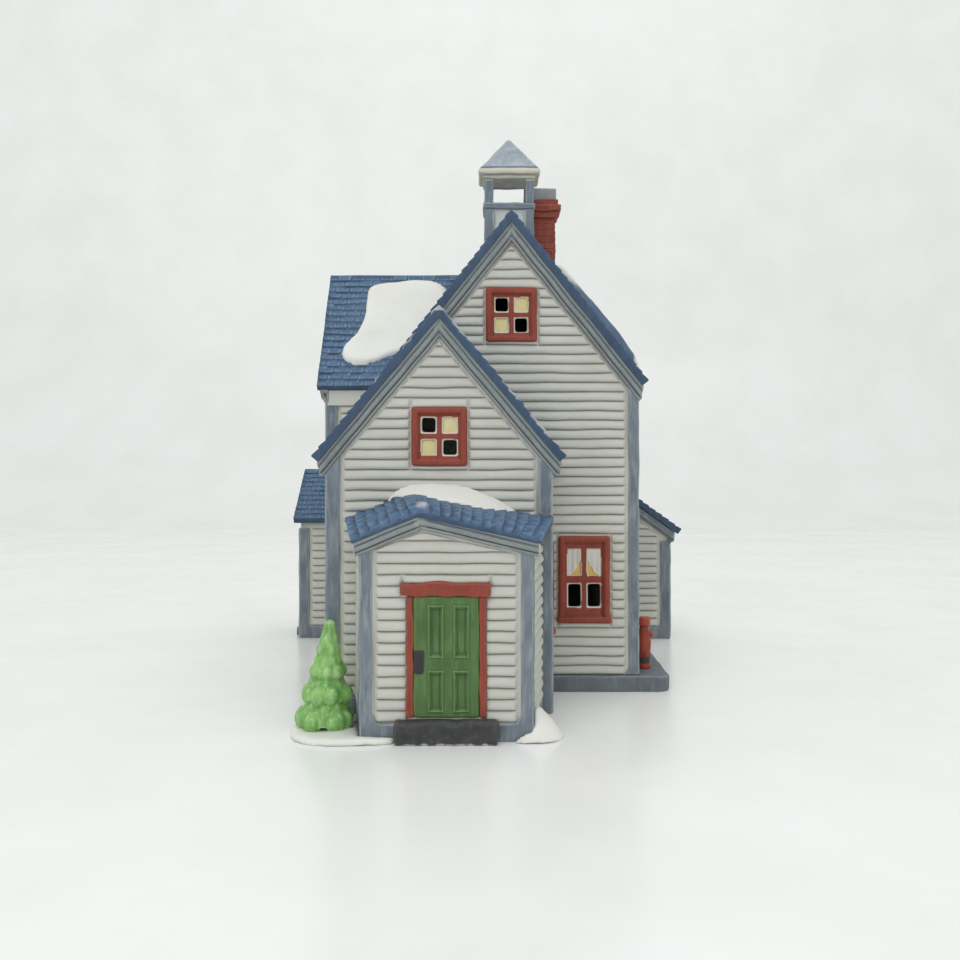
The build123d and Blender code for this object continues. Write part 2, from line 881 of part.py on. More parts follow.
right_lean_boards = [
    clapboards(
        (main_right, right_lean_y),
        (right_lean_x, right_lean_y),
        base_band,
        right_lean_top,
        front(right_lean_y),
        right_lean_face,
    ),
    clapboards(
        (right_lean_x, right_lean_y + board_inset),
        (right_lean_x, lean_back - board_inset),
        base_band,
        right_lean_top_board,
    ),
    clapboards(
        (right_lean_x, lean_back),
        (main_right, lean_back),
        base_band,
        right_lean_top,
        front(lean_back),
        right_lean_face,
    ),
]
with BuildPart() as right_lean_walls:
    with BuildSketch():
        with Locations(((main_right + right_lean_x) / 2, (right_lean_y + lean_back) / 2)):
            Rectangle(right_lean_reach, lean_back - right_lean_y)
    extrude(amount=right_lean_top)
    with BuildSketch(Plane.XY.offset(floor)):
        with Locations(((main_right + right_lean_x - wall) / 2, (right_lean_y + lean_back) / 2)):
            Rectangle(right_lean_reach - wall, lean_back - right_lean_y - 2 * wall)
    extrude(amount=right_lean_top, mode=Mode.SUBTRACT)
    for boards in right_lean_boards:
        add(boards)
    extrude(
        polygon(front(right_lean_y - overrun), right_lean_above),
        amount=right_lean_y - lean_back - 2 * overrun,
        mode=Mode.SUBTRACT,
    )
save(right_lean_walls.part, "right_lean_to_walls")

right_lean_tip = right_lean_low[0] - roof_skin


def right_lean_band(top, bottom):
    """Band under the right lean-to roof between two depths square to it."""
    ends = (right_lean_start, right_lean_tip)
    upper = [(p, shed_under(right_lean_low, right_lean_high, p, top)) for p in ends]
    lower = [(p, shed_under(right_lean_low, right_lean_high, p, bottom)) for p in reversed(ends)]
    return upper + lower


with BuildPart() as right_lean_trim:
    add(trim(right_lean_path, 0, right_lean_top_board))
    for y, way in ((right_lean_y, 1), (lean_back, -1)):
        extrude(polygon(front(y), right_lean_band(0, rake_board)), amount=way * rake_board_proud)
        right_lean_bead = right_lean_band(rake_board, right_lean_below)
        extrude(polygon(front(y), right_lean_bead), amount=way * rake_bead_proud)
save(right_lean_trim.part, "right_lean_to_trim")

# Left wing walls
left_wing_path = [
    (main_left, left_wing_back),
    (left_wing_x, left_wing_back),
    (left_wing_x, left_wing_y),
    (main_left, left_wing_y),
]
left_wing_boards = [
    clapboards(
        (left_wing_x + board_inset, left_wing_y),
        (main_left - board_butt, left_wing_y),
        base_band,
        left_wing.corner_top,
    ),
    clapboards(
        (left_wing_x, left_wing_back - board_inset),
        (left_wing_x, left_wing_y + board_inset),
        base_band,
        left_wing_ridge,
        side(left_wing_x),
        left_wing.face(base_band, board_inset),
    ),
    clapboards(
        (main_left - board_butt, left_wing_back),
        (left_wing_x + board_inset, left_wing_back),
        base_band,
        left_wing.corner_top,
    ),
]


def frieze(gable, way):
    """Section of the plain band under one eave."""
    edge = gable.centre + way * gable.half
    out = edge + way * frieze_proud
    low = gable.corner_top
    return [(edge, low), (out, low), (out, gable.under(out)), (edge, gable.under(edge))]


with BuildPart() as left_wing_walls:
    add(left_wing_core.part)
    with BuildSketch(Plane.XY.offset(floor)):
        with Locations(((left_wing_x + wall + main_left) / 2, left_ridge_y)):
            Rectangle(left_wing_reach - wall, 2 * (left_wing_half - wall))
    extrude(amount=left_wing_ridge, mode=Mode.SUBTRACT)
    for boards in left_wing_boards:
        add(boards)
    for way in (-1, 1):
        extrude(polygon(side(left_wing_x), frieze(left_wing, way)), amount=left_wing_reach - frieze_proud)
    open_window(small_windows["left_gable_window"], window_height)
    add(left_lean_block.part, mode=Mode.SUBTRACT)
    add(main_roof.part, mode=Mode.SUBTRACT)
save(left_wing_walls.part, "left_wing_walls")

with BuildPart() as left_wing_trim:
    add(trim(left_wing_path, 0, left_wing.corner_top))
    add(left_lean_block.part, mode=Mode.SUBTRACT)
save(left_wing_trim.part, "left_wing_trim")

save(rake_boards(left_wing, [(side(left_wing_x), -1)]), "left_wing_rake_boards")

# Main walls
main_face = main.face(plinth_height, board_inset)
main_boards = [
    clapboards(
        (main_left, main_front),
        (main_right, main_front),
        plinth_height,
        main_ridge,
        front(main_front),
        main_face,
    ),
    clapboards(
        (main_right, main_back),
        (main_left, main_back),
        plinth_height,
        main_ridge,
        front(main_back),
        main_face,
    ),
    clapboards(
        (main_right, main_front + board_inset),
        (main_right, main_back - board_inset),
        plinth_height,
        main.corner_top,
    ),
    clapboards(
        (main_left, main_back - board_inset),
        (main_left, main_front + board_inset),
        plinth_height,
        main.corner_top,
    ),
]
wing_passage = ridge_x - main_half + wall + passage_width / 2
with BuildPart() as main_walls:
    extrude(polygon(front(main_front), main.walls(plinth_height)), amount=-main_depth)
    with BuildSketch(Plane.XY.offset(plinth_height)):
        with Locations((ridge_x, main_front + main_depth / 2)):
            Rectangle(2 * (main_half - wall), main_depth - 2 * wall)
    extrude(amount=main_ridge, mode=Mode.SUBTRACT)
    for boards in main_boards:
        add(boards)
    for way in (-1, 1):
        extrude(polygon(front(main_front), frieze(main, way)), amount=-main_depth)
    for outline in (wing.walls(0), wing.roof()):
        extrude(polygon(front(main_front), outline), amount=overrun, mode=Mode.SUBTRACT)
    extrude(polygon(side(main_left), left_wing.walls(0)), amount=-overrun, mode=Mode.SUBTRACT)
    add(left_lean_block.part, mode=Mode.SUBTRACT)
    add(right_lean_block.part, mode=Mode.SUBTRACT)
    add(left_wing_roof.part, mode=Mode.SUBTRACT)
    for name, plane in small_windows.items():
        if name in ("main_gable_window", "rear_gable_window"):
            open_window(plane, window_height)
    for name, plane in tall_windows.items():
        if name != "wing_side_window":
            open_window(plane, tall_height)
    with BuildSketch(front(main_front - overrun)):
        with Locations((wing_passage, (passage_low + passage_high) / 2)):
            Rectangle(passage_width, passage_high - passage_low)
    extrude(amount=-wall - 2 * overrun, mode=Mode.SUBTRACT)
    with BuildSketch(side(main_left - overrun)):
        with Locations((left_ridge_y, (passage_low + passage_high) / 2)):
            Rectangle(passage_width, passage_high - passage_low)
    extrude(amount=wall + 2 * overrun, mode=Mode.SUBTRACT)
    with BuildSketch(front(main_back + overrun)):
        with Locations((ridge_x, lamp_height)):
            Circle(lamp_hole_radius)
    extrude(amount=wall + 2 * overrun, mode=Mode.SUBTRACT)
    with BuildSketch(front(main_back)):
        with Locations((ridge_x, lamp_height)):
            Circle(lamp_hole_radius + border_width)
    extrude(amount=-overrun, mode=Mode.SUBTRACT)
save(main_walls.part, "main_walls")

main_path = [
    (main_left, main_front),
    (main_right, main_front),
    (main_right, main_back),
    (main_left, main_back),
    (main_left, main_front),
    (main_right, main_front),
]
with BuildPart() as main_corners:
    add(trim(main_path, plinth_height, main.corner_top, banded=False))
    for outline in (wing.walls(0), wing.roof()):
        extrude(polygon(front(main_front), outline), amount=overrun, mode=Mode.SUBTRACT)
save(main_corners.part, "main_corner_boards")

with BuildPart() as wing_above:
    extrude(polygon(front(wing_front - rake_overhang), wing.envelope()), amount=-wing_depth - rake_overhang)

with BuildPart() as main_rakes:
    add(rake_boards(main, [(front(main_front), 1), (front(main_back), -1)]))
    add(wing_above.part, mode=Mode.SUBTRACT)
save(main_rakes.part, "main_rake_boards")

# Plinth, with the side ledge and a foot ring underneath
with BuildPart() as main_plinth:
    with BuildSketch():
        with Locations((ridge_x, main_front + main_depth / 2)):
            Rectangle(2 * (main_half + plinth_ledge), main_depth + 2 * plinth_ledge)
        with Locations((main_right, main_front - plinth_ledge)):
            Rectangle(ledge_width, ledge_depth, align=(Align.MIN, Align.MIN))
    extrude(amount=plinth_height)
    ledge_corner = (
        main_plinth.edges().filter_by(Axis.Z).sort_by(Axis.X).filter_by_position(
            Axis.Y, main_front - 2 * plinth_ledge, main_front
        )[-1]
    )
    fillet(ledge_corner, ledge_round)
    with BuildSketch():
        with Locations((ridge_x, main_front + main_depth / 2)):
            Rectangle(2 * (main_half - foot_ring), main_depth - 2 * foot_ring)
    extrude(amount=foot_recess, mode=Mode.SUBTRACT)
    for low, high in (
        ((wing_left - base_proud, wing_front), (wing_right + base_proud, main_front)),
        ((left_wing_x, left_wing_y - base_proud), (main_left, lean_back + base_proud)),
        ((main_right, right_lean_y - base_proud), (right_lean_x, lean_back + base_proud)),
    ):
        with BuildSketch():
            with Locations(low):
                Rectangle(high[0] - low[0], high[1] - low[1], align=(Align.MIN, Align.MIN))
        extrude(amount=plinth_height, mode=Mode.SUBTRACT)
save(main_plinth.part, "main_plinth")

# Front wing walls
wing_path = [
    (main_left, main_front),
    (wing_left, main_front),
    (wing_left, wing_front),
    (wing_right, wing_front),
    (wing_right, main_front),
]
wing_boards = [
    clapboards(
        (wing_left, wing_front),
        (wing_right, wing_front),
        base_band,
        wing_ridge,
        front(wing_front),
        wing.face(base_band, board_inset),
    ),
    clapboards(
        (wing_right, wing_front + board_inset),
        (wing_right, main_front - board_butt),
        base_band,
        wing.corner_top,
    ),
    clapboards(
        (wing_left, main_front - board_inset),
        (wing_left, wing_front + board_inset),
        base_band,
        wing.corner_top,
    ),
    clapboards(
        (main_left - frieze_proud, main_front),
        (wing_left + board_inset, main_front),
        base_band,
        wing.corner_top,
    ),
]
vestibule_silhouette = [
    (vestibule_plan[0][0], 0),
    (vestibule_plan[3][0], 0),
    (vestibule_plan[3][0], vestibule_back_end[2][1]),
    vestibule_back_end[1],
    (vestibule_plan[0][0], vestibule_back_end[0][1]),
]
with BuildPart() as wing_walls:
    extrude(polygon(front(wing_front), wing.walls(0)), amount=-wing_depth)
    with BuildSketch(Plane.XY.offset(floor)):
        with Locations((wing.centre, wing_front + wing_depth / 2)):
            Rectangle(2 * (wing_half - wall), wing_depth - 2 * wall)
    extrude(amount=wing_ridge, mode=Mode.SUBTRACT)
    for boards in wing_boards:
        add(boards)
    for way in (-1, 1):
        extrude(polygon(front(wing_front), frieze(wing, way)), amount=-wing_depth + frieze_proud)
    extrude(polygon(front(wing_front), vestibule_silhouette), amount=overrun, mode=Mode.SUBTRACT)
    add(vestibule_roof.part, mode=Mode.SUBTRACT)
    open_window(small_windows["wing_gable_window"], window_height)
    open_window(tall_windows["wing_side_window"], tall_height)
    with BuildSketch(front(main_front + overrun)):
        with Locations((wing_passage, (passage_low + passage_high) / 2)):
            Rectangle(passage_width, passage_high - passage_low)
    extrude(amount=wall + 2 * overrun, mode=Mode.SUBTRACT)
    add(main_roof.part, mode=Mode.SUBTRACT)
save(wing_walls.part, "front_wing_walls")

with BuildPart() as wing_trim:
    add(trim(wing_path, 0, wing.corner_top))
    extrude(polygon(front(wing_front), vestibule_silhouette), amount=overrun, mode=Mode.SUBTRACT)
    add(vestibule_roof.part, mode=Mode.SUBTRACT)
    with BuildSketch():
        with Locations((main_left - plinth_ledge, main_front)):
            Rectangle(plinth_ledge, base_proud, align=(Align.MIN, Align.MIN))
    extrude(amount=base_band, mode=Mode.SUBTRACT)
save(wing_trim.part, "front_wing_trim")

save(rake_boards(wing, [(front(wing_front), 1)]), "front_wing_rake_boards")

# Vestibule walls
def lowered(end, below):
    """Line under the vestibule roof at one end, from the left eave to the right."""
    return [(x, z - roof_skin - slip - below) for x, z in end]


def line_height(points, x):
    """Height at x of a line with one ridge."""
    left, apex, right = points
    low = left if x < apex[0] else right
    return low[1] + (apex[1] - low[1]) * (x - low[0]) / (apex[0] - low[0])


def above(end):
    """All that lies above the underside of the vestibule roof at one end."""
    line = lowered(end, 0)
    return line + [(line[2][0], wing_eave), (line[0][0], wing_eave)]


vestibule_board_line = lowered(vestibule_front_end, rake_board)
vestibule_bead_line = lowered(vestibule_front_end, rake_board + rake_bead)
vestibule_left, vestibule_right = vestibule_plan[1][0], vestibule_plan[2][0]
vestibule_corner_top = min(
    line_height(vestibule_bead_line, vestibule_left - corner_proud),
    line_height(vestibule_bead_line, vestibule_right + corner_proud),
)
vestibule_siding_line = lowered(vestibule_front_end, rake_board + rake_bead + board_margin)
vestibule_face = [
    (vestibule_left + board_inset, base_band),
    (vestibule_right - board_inset, base_band),
    (vestibule_right - board_inset, line_height(vestibule_siding_line, vestibule_right - board_inset)),
    vestibule_siding_line[1],
    (vestibule_left + board_inset, line_height(vestibule_siding_line, vestibule_left + board_inset)),
]
vestibule_room = [
    (vestibule_plan[0][0] + wall, wing_front),
    (vestibule_plan[1][0] + wall, vestibule_front + wall),
    (vestibule_plan[2][0] - wall, vestibule_front + wall),
    (vestibule_plan[3][0] - wall, wing_front),
]
vestibule_boards = [
    clapboards(
        vestibule_plan[1],
        vestibule_plan[2],
        base_band,
        vestibule_front_ridge,
        front(vestibule_front),
        vestibule_face,
    ),
    clapboards(
        step_along(vestibule_plan[0], vestibule_plan[1], corner_proud),
        step_along(vestibule_plan[1], vestibule_plan[0], board_inset),
        base_band,
        vestibule_corner_top,
    ),
    clapboards(
        step_along(vestibule_plan[2], vestibule_plan[3], board_inset),
        step_along(vestibule_plan[3], vestibule_plan[2], corner_proud),
        base_band,
        vestibule_corner_top,
    ),
]
vestibule_path = [
    step_along(vestibule_plan[0], vestibule_plan[1], corner_proud),
    vestibule_plan[1],
    vestibule_plan[2],
    step_along(vestibule_plan[3], vestibule_plan[2], corner_proud),
]
door_top = door_sill + door_height
with BuildPart() as vestibule_walls:
    extrude(polygon(Plane.XY, vestibule_plan), amount=vestibule_back_ridge)
    extrude(polygon(Plane.XY.offset(floor), vestibule_room), amount=vestibule_back_ridge, mode=Mode.SUBTRACT)
    for boards in vestibule_boards:
        add(boards)
    loft(
        sections=[
            polygon(front(vestibule_front - vestibule_overhang), above(vestibule_front_end)).face(),
            polygon(front(wing_front), above(vestibule_back_end)).face(),
        ],
        ruled=True,
        mode=Mode.SUBTRACT,
    )
    with BuildSketch(front(vestibule_front)) as door_seat:
        with Locations((vestibule_x, base_band)):
            Rectangle(door_width + 2 * jamb_width, door_top - base_band, align=(Align.CENTER, Align.MIN))
        with Locations((vestibule_x, door_top)):
            Rectangle(lintel_width, lintel_height, align=(Align.CENTER, Align.MIN))
    extrude(amount=overrun, mode=Mode.SUBTRACT)
save(vestibule_walls.part, "vestibule_walls")

with BuildPart() as vestibule_trim:
    add(trim(vestibule_path, 0, vestibule_corner_top))
save(vestibule_trim.part, "vestibule_trim")

with BuildPart() as vestibule_rakes:
    upper = lowered(vestibule_front_end, 0)
    extrude(
        polygon(front(vestibule_front), upper + vestibule_board_line[::-1]), amount=rake_board_proud
    )
    extrude(
        polygon(front(vestibule_front), vestibule_board_line + vestibule_bead_line[::-1]),
        amount=rake_bead_proud,
    )
save(vestibule_rakes.part, "vestibule_rake_boards")

# Front door
door_plane = Plane(origin=(vestibule_x, vestibule_front, door_sill), **front_facing)
panel_across = (panel_gap + panel_width + 2 * panel_bead) / 2
panel_foot = (door_height - upper_panel_height - lower_panel_height - panel_gap - 2 * panel_bead) / 2
door_panels = [
    (panel_foot + lower_panel_height / 2, lower_panel_height),
    (panel_foot + lower_panel_height + panel_gap + upper_panel_height / 2 + panel_bead, upper_panel_height),
]
with BuildPart() as front_door:
    with BuildSketch(door_plane):
        Rectangle(door_width, door_height, align=(Align.CENTER, Align.MIN))
    extrude(amount=door_proud)
    for z, height in door_panels:
        for x in (panel_shift - panel_across, panel_shift + panel_across):
            with BuildSketch(door_plane.offset(door_proud)):
                with Locations((x, z)):
                    Rectangle(panel_width + 2 * panel_bead, height)
            extrude(amount=panel_depth)
            with BuildSketch(door_plane.offset(door_proud - panel_depth)):
                with Locations((x, z)):
                    Rectangle(panel_width, height - 2 * panel_bead)
            extrude(amount=2 * panel_depth, mode=Mode.SUBTRACT)
save(front_door.part, "front_door")

with BuildPart() as door_frame:
    for way in (-1, 1):
        with BuildSketch(front(vestibule_front)):
            with Locations((vestibule_x + way * (door_width + jamb_width) / 2, door_sill)):
                Rectangle(jamb_width, door_height, align=(Align.CENTER, Align.MIN))
        extrude(amount=jamb_proud)
save(door_frame.part, "front_door_frame")

with BuildPart() as door_lintel:
    with BuildSketch(front(vestibule_front)):
        with Locations((vestibule_x, door_top)):
            Rectangle(lintel_width, lintel_height, align=(Align.CENTER, Align.MIN))
    extrude(amount=lintel_proud)
save(door_lintel.part, "front_door_lintel")

with BuildPart() as latch_plate:
    with BuildSketch(front(vestibule_front - door_proud)):
        with Locations((vestibule_x + (latch_width - door_width) / 2, latch_centre)):
            RectangleRounded(latch_width - slip, latch_height, latch_width / 4)
    extrude(amount=latch_proud)
save(latch_plate.part, "door_latch_plate")

step_back = vestibule_front - base_proud
with BuildPart() as front_step:
    with BuildSketch():
        with Locations((vestibule_x, step_back)):
            Rectangle(step_width, step_depth, align=(Align.CENTER, Align.MAX))
    extrude(amount=step_height)
    fillet(front_step.faces().sort_by(Axis.Z)[-1].edges().sort_by(Axis.Y)[0], step_round)
save(front_step.part, "front_step")

# Windows and their closed panes
for name, plane in small_windows.items():
    save(window_frame(plane, False), name)
for name, plane in tall_windows.items():
    save(window_frame(plane, True), name)
save(panes(small_windows, False, (1, 2)), "amber_panes")
save(panes(tall_windows, True, (0, 1)), "curtain_panes")

# Cupola, cut to the main ridge
cupola_y = main_front + cupola_back
with BuildPart() as cupola_base:
    with BuildSketch(Plane.XY.offset(main_eave)):
        with Locations((ridge_x, cupola_y)):
            Rectangle(cupola_side - 2 * cupola_panel_inset, cupola_side - 2 * cupola_panel_inset)
    extrude(amount=cupola_rail_top - cupola_rail_height - main_eave)
    for way_x in (-1, 1):
        for way_y in (-1, 1):
            with BuildSketch(Plane.XY.offset(main_eave)):
                with Locations(
                    (
                        ridge_x + way_x * (cupola_side - cupola_post) / 2,
                        cupola_y + way_y * (cupola_side - cupola_post) / 2,
                    )
                ):
                    Rectangle(cupola_post, cupola_post)
            extrude(amount=cupola_rail_top - cupola_rail_height - main_eave)
    add(main_envelope.part, mode=Mode.SUBTRACT)
save(cupola_base.part, "cupola_base")

with BuildPart() as cupola_posts:
    for way_x in (-1, 1):
        for way_y in (-1, 1):
            with BuildSketch(Plane.XY.offset(cupola_rail_top)):
                with Locations(
                    (
                        ridge_x + way_x * (cupola_side - cupola_post) / 2,
                        cupola_y + way_y * (cupola_side - cupola_post) / 2,
                    )
                ):
                    Rectangle(cupola_post, cupola_post)
            extrude(amount=cupola_beam_low - cupola_rail_top)
save(cupola_posts.part, "cupola_posts")

with BuildPart() as cupola_rails:
    for low, high in (
        (cupola_rail_top - cupola_rail_height, cupola_rail_top),
        (cupola_beam_low, cupola_eave - cupola_roof_edge),
    ):
        with BuildSketch(Plane.XY.offset(low)):
            with Locations((ridge_x, cupola_y)):
                Rectangle(cupola_side + 2 * cupola_rail_proud, cupola_side + 2 * cupola_rail_proud)
        extrude(amount=high - low)
save(cupola_rails.part, "cupola_rails")

with BuildPart() as cupola_roof:
    with BuildSketch(Plane.XY.offset(cupola_eave - cupola_roof_edge)):
        with Locations((ridge_x, cupola_y)):
            Rectangle(cupola_roof_side, cupola_roof_side)
    extrude(amount=cupola_roof_edge)
    with BuildSketch(Plane.XY.offset(cupola_eave)):
        with Locations((ridge_x, cupola_y)):
            Rectangle(cupola_roof_side, cupola_roof_side)
    cupola_rise = cupola_apex - cupola_eave
    extrude(amount=cupola_rise, taper=degrees(atan2(cupola_roof_side - cupola_tip, 2 * cupola_rise)))
save(cupola_roof.part, "cupola_roof")

# Chimney: courses of brick, a flared head and a cap
chimney_x = ridge_x + chimney_offset
chimney_y = main_front + chimney_back


def chimney_square(z, side_length, height):
    """One square course of the chimney that is being built."""
    with BuildSketch(Plane(origin=(chimney_x, chimney_y, z))) as course:
        Rectangle(side_length, side_length)
    extrude(course.sketch, amount=height)


chimney_low = main.outer(chimney_x + chimney_side / 2) - brick_pitch
with BuildPart() as chimney_stack:
    brick_z = chimney_low
    while brick_z < chimney_neck:
        course_top = min(brick_z + brick_pitch, chimney_neck)
        chimney_square(brick_z, chimney_side, course_top - brick_z - brick_joint)
        chimney_square(course_top - brick_joint, chimney_side - 2 * brick_inset, brick_joint)
        brick_z = brick_z + brick_pitch
    chimney_square(chimney_neck, chimney_side + chimney_head_flare, brick_pitch)
    chimney_square(chimney_neck + brick_pitch, chimney_side + 2 * chimney_head_flare, brick_pitch)
    chimney_square(
        chimney_neck + 2 * brick_pitch,
        chimney_side + chimney_head_flare,
        chimney_head_top - chimney_neck - 2 * brick_pitch,
    )
    add(main_envelope.part, mode=Mode.SUBTRACT)
save(chimney_stack.part, "chimney_stack")

with BuildPart() as chimney_cap:
    chimney_square(chimney_head_top, cap_side, chimney_top - chimney_head_top)
    with BuildSketch(Plane(origin=(chimney_x, chimney_y, chimney_top))):
        Rectangle(cap_flue, cap_flue)
    extrude(amount=(chimney_head_top - chimney_top) / 2, mode=Mode.SUBTRACT)
save(chimney_cap.part, "chimney_cap")

# Yard ornament on the side ledge
pump_axis = Plane(
    origin=(main_right + pump_offset, main_front + pump_back, plinth_height), **front_facing
)
with BuildPart() as yard_pump:
    with BuildSketch(pump_axis):
        with BuildLine():
            Polyline(
                (0, 0),
                *[
                    (radius * pump_radius, height * pump_height)
                    for height, radius in zip(pump_height_shares, pump_radius_shares)
                ],
                close=True,
            )
        make_face()
    revolve(axis=Axis(pump_axis.origin, (0, 0, 1)))
    spout_z = plinth_height + spout_height_share * pump_height
    with BuildSketch(Plane(origin=(pump_axis.origin.X, pump_axis.origin.Y, spout_z), **right_facing)):
        Circle(spout_radius_share * pump_radius)
    extrude(amount=spout_reach_share * pump_radius)
save(yard_pump.part, "yard_pump")

# Snow on the ground: a flat drift at the left front and a heap by the vestibule's right wall
vestibule_clear = [
    (vestibule_plan[0][0] - corner_proud, wing_front),
    (vestibule_plan[1][0] - corner_proud, vestibule_front - corner_proud),
    (vestibule_plan[2][0] + corner_proud, vestibule_front - corner_proud),
    (vestibule_plan[3][0] + corner_proud, wing_front),
]
drift_x = ridge_x - drift_left
drift_y = main_front - drift_front
step_left = vestibule_x - step_width / 2
wing_clear = wing_front - corner_proud
drift_points = [
    (drift_x + corner_width, wing_clear),
    (drift_x, (drift_y + wing_clear) / 2),
    (drift_x + corner_width, drift_y + corner_width),
    (vestibule_left, drift_y),
    (step_left - slip, step_back - step_depth / 2),
]
with BuildPart() as snow_drift:
    with BuildSketch():
        with BuildLine():
            Spline(*drift_points)
            Polyline(drift_points[-1], (step_left - slip, wing_clear), drift_points[0])
        make_face()
    extrude(amount=drift_height)
    chamfer(snow_drift.faces().sort_by(Axis.Z)[-1].edges().filter_by(GeomType.BSPLINE), drift_round)
    extrude(polygon(Plane.XY, vestibule_clear), amount=drift_height, mode=Mode.SUBTRACT)
save(snow_drift.part, "snow_drift")

with BuildPart() as snow_heap:
    heap_foot = vestibule_plan[2][0] + corner_proud
    with BuildSketch(Plane(origin=(heap_foot, vestibule_front + mound_depth / 2, 0))):
        Ellipse(mound_reach, mound_depth / 2 + corner_width)
    with BuildSketch(Plane(origin=(heap_foot, vestibule_front + mound_depth / 2, mound_height))):
        Ellipse(mound_reach / 4, mound_depth / 4)
    loft(ruled=True)
    extrude(polygon(Plane.XY, vestibule_clear), amount=mound_height, mode=Mode.SUBTRACT)
save(snow_heap.part, "snow_heap")

# Pine tree: each tier is a skirt and a steeper shoulder, turned half a side from the tier below
tree_x, tree_y = ridge_x - tree_left, main_front - tree_front
flat_share = cos(pi / tree_sides)


def tree_stage(low, high, radius, top_radius, tier):
    """Tapered stage of the tree that is being built, between two heights above the drift."""
    with BuildSketch(Plane(origin=(tree_x, tree_y, drift_height + low))) as hem:
        RegularPolygon(radius, tree_sides, rotation=tier * degrees(pi / tree_sides))
    inward = (radius - top_radius) * flat_share
    extrude(hem.sketch, amount=high - low, taper=degrees(atan2(inward, high - low)))


tier_high_shares = tier_low_shares[1:] + (1.0,)
with BuildPart() as pine_tree:
    for tier, (low, high, radius) in enumerate(zip(tier_low_shares, tier_high_shares, tier_radius_shares)):
        skirt = radius * tree_radius
        shoulder = skirt * tier_shoulder_share
        neck = tree_tip if high == tier_high_shares[-1] else skirt * tier_neck_share
        bend = (low + (high - low) * tier_skirt_share) * tree_height
        tree_stage(low * tree_height, bend, skirt, shoulder, tier)
        tree_stage(bend, high * tree_height, shoulder, neck, tier)
save(pine_tree.part, "pine_tree")

# Snow on the roofs, bedded on the shingles
def shrunk(outline, share):
    """An outline drawn in towards its middle."""
    middle = [sum(axis) / len(outline) for axis in zip(*outline)]
    return [(middle[0] + (x - middle[0]) * share, middle[1] + (y - middle[1]) * share) for x, y in outline]


main_slope_length = hypot(main.reach, main_ridge - main_eave)
main_slope_right = Plane(
    origin=(ridge_x, main_front, main_ridge),
    x_dir=(cos(main.angle), 0, -sin(main.angle)),
    z_dir=(sin(main.angle), 0, cos(main.angle)),
)
roof_snow_outline = [
    (down * main_slope_length, back * roof_snow_length)
    for down, back in zip(roof_snow_down_shares, roof_snow_back_shares)
]
with BuildPart() as roof_snow:
    for lift, share in ((0, 1), (snow_thick, snow_top_share)):
        with BuildSketch(main_slope_right.offset(lift)):
            with BuildLine():
                Spline(*shrunk(roof_snow_outline, share), periodic=True)
            make_face()
    loft()
    add(main_envelope.part, mode=Mode.SUBTRACT)
save(roof_snow.part, "snow_main_roof")

left_slope_length = hypot(left_wing.reach, left_wing_ridge - left_wing_eave)
left_snow_x = left_wing_x + corner_width
left_slope_front = Plane(
    origin=(left_snow_x, left_ridge_y - left_wing.reach, left_wing_eave),
    x_dir=(1, 0, 0),
    z_dir=(0, -sin(left_wing.angle), cos(left_wing.angle)),
)
left_snow_outline = [
    (along * (ridge_x - left_snow_x) / 2, up * left_slope_length)
    for along, up in zip(left_snow_along_shares, left_snow_up_shares)
]
with BuildPart() as left_wing_above:
    extrude(
        polygon(side(left_wing_x - rake_overhang), left_wing.envelope()),
        amount=ridge_x - left_wing_x + rake_overhang,
    )
with BuildPart() as left_snow:
    for lift, share in ((0, 1), (left_snow_thick, snow_top_share)):
        with BuildSketch(left_slope_front.offset(lift)):
            with BuildLine():
                Spline(*shrunk(left_snow_outline, share), periodic=True)
            make_face()
    loft()
    add(left_wing_above.part, mode=Mode.SUBTRACT)
    add(main_envelope.part, mode=Mode.SUBTRACT)
save(left_snow.part, "snow_left_wing")

with BuildPart() as vestibule_snow:
    heap_apex = vestibule_back_end[1]
    heap_line = (heap_apex[0] + heap_shift, heap_apex[1] - heap_sink)
    heap_back = Plane(origin=(heap_line[0], wing_front - board_butt, heap_line[1]), **front_facing)
    with BuildSketch(heap_back):
        Ellipse(heap_width / 2, heap_rise + heap_sink)
    with BuildSketch(heap_back.offset(heap_depth)):
        Ellipse(heap_front_share * heap_width / 2, heap_front_share * (heap_rise + heap_sink))
    loft(ruled=True)
    loft(
        sections=[
            polygon(
                front(vestibule_front - vestibule_overhang), saddle_envelope(vestibule_front_points)
            ).face(),
            polygon(front(wing_front), saddle_envelope(vestibule_back_points)).face(),
        ],
        ruled=True,
        mode=Mode.SUBTRACT,
    )
save(vestibule_snow.part, "snow_vestibule_roof")

# Clip-in lamp: it goes into the light hole from behind, along Y
socket_mouth_depth = bulb_base_length + contact_thickness
socket_back_wall = socket_inside + socket_tail - socket_mouth_depth
lamp_back = Plane(origin=(ridge_x, main_back, lamp_height), x_dir=(1, 0, 0), z_dir=(0, -1, 0))
with BuildPart() as lamp_socket:
    with BuildSketch(lamp_back.offset(-socket_tail)):
        Circle(socket_radius)
        Circle(cord_radius, mode=Mode.SUBTRACT)
    extrude(amount=socket_back_wall)
    with BuildSketch(lamp_back.offset(socket_back_wall - socket_tail)):
        Circle(socket_radius)
        Circle(socket_mouth_radius, mode=Mode.SUBTRACT)
    extrude(amount=socket_mouth_depth)
save(lamp_socket.part, "lamp_socket")

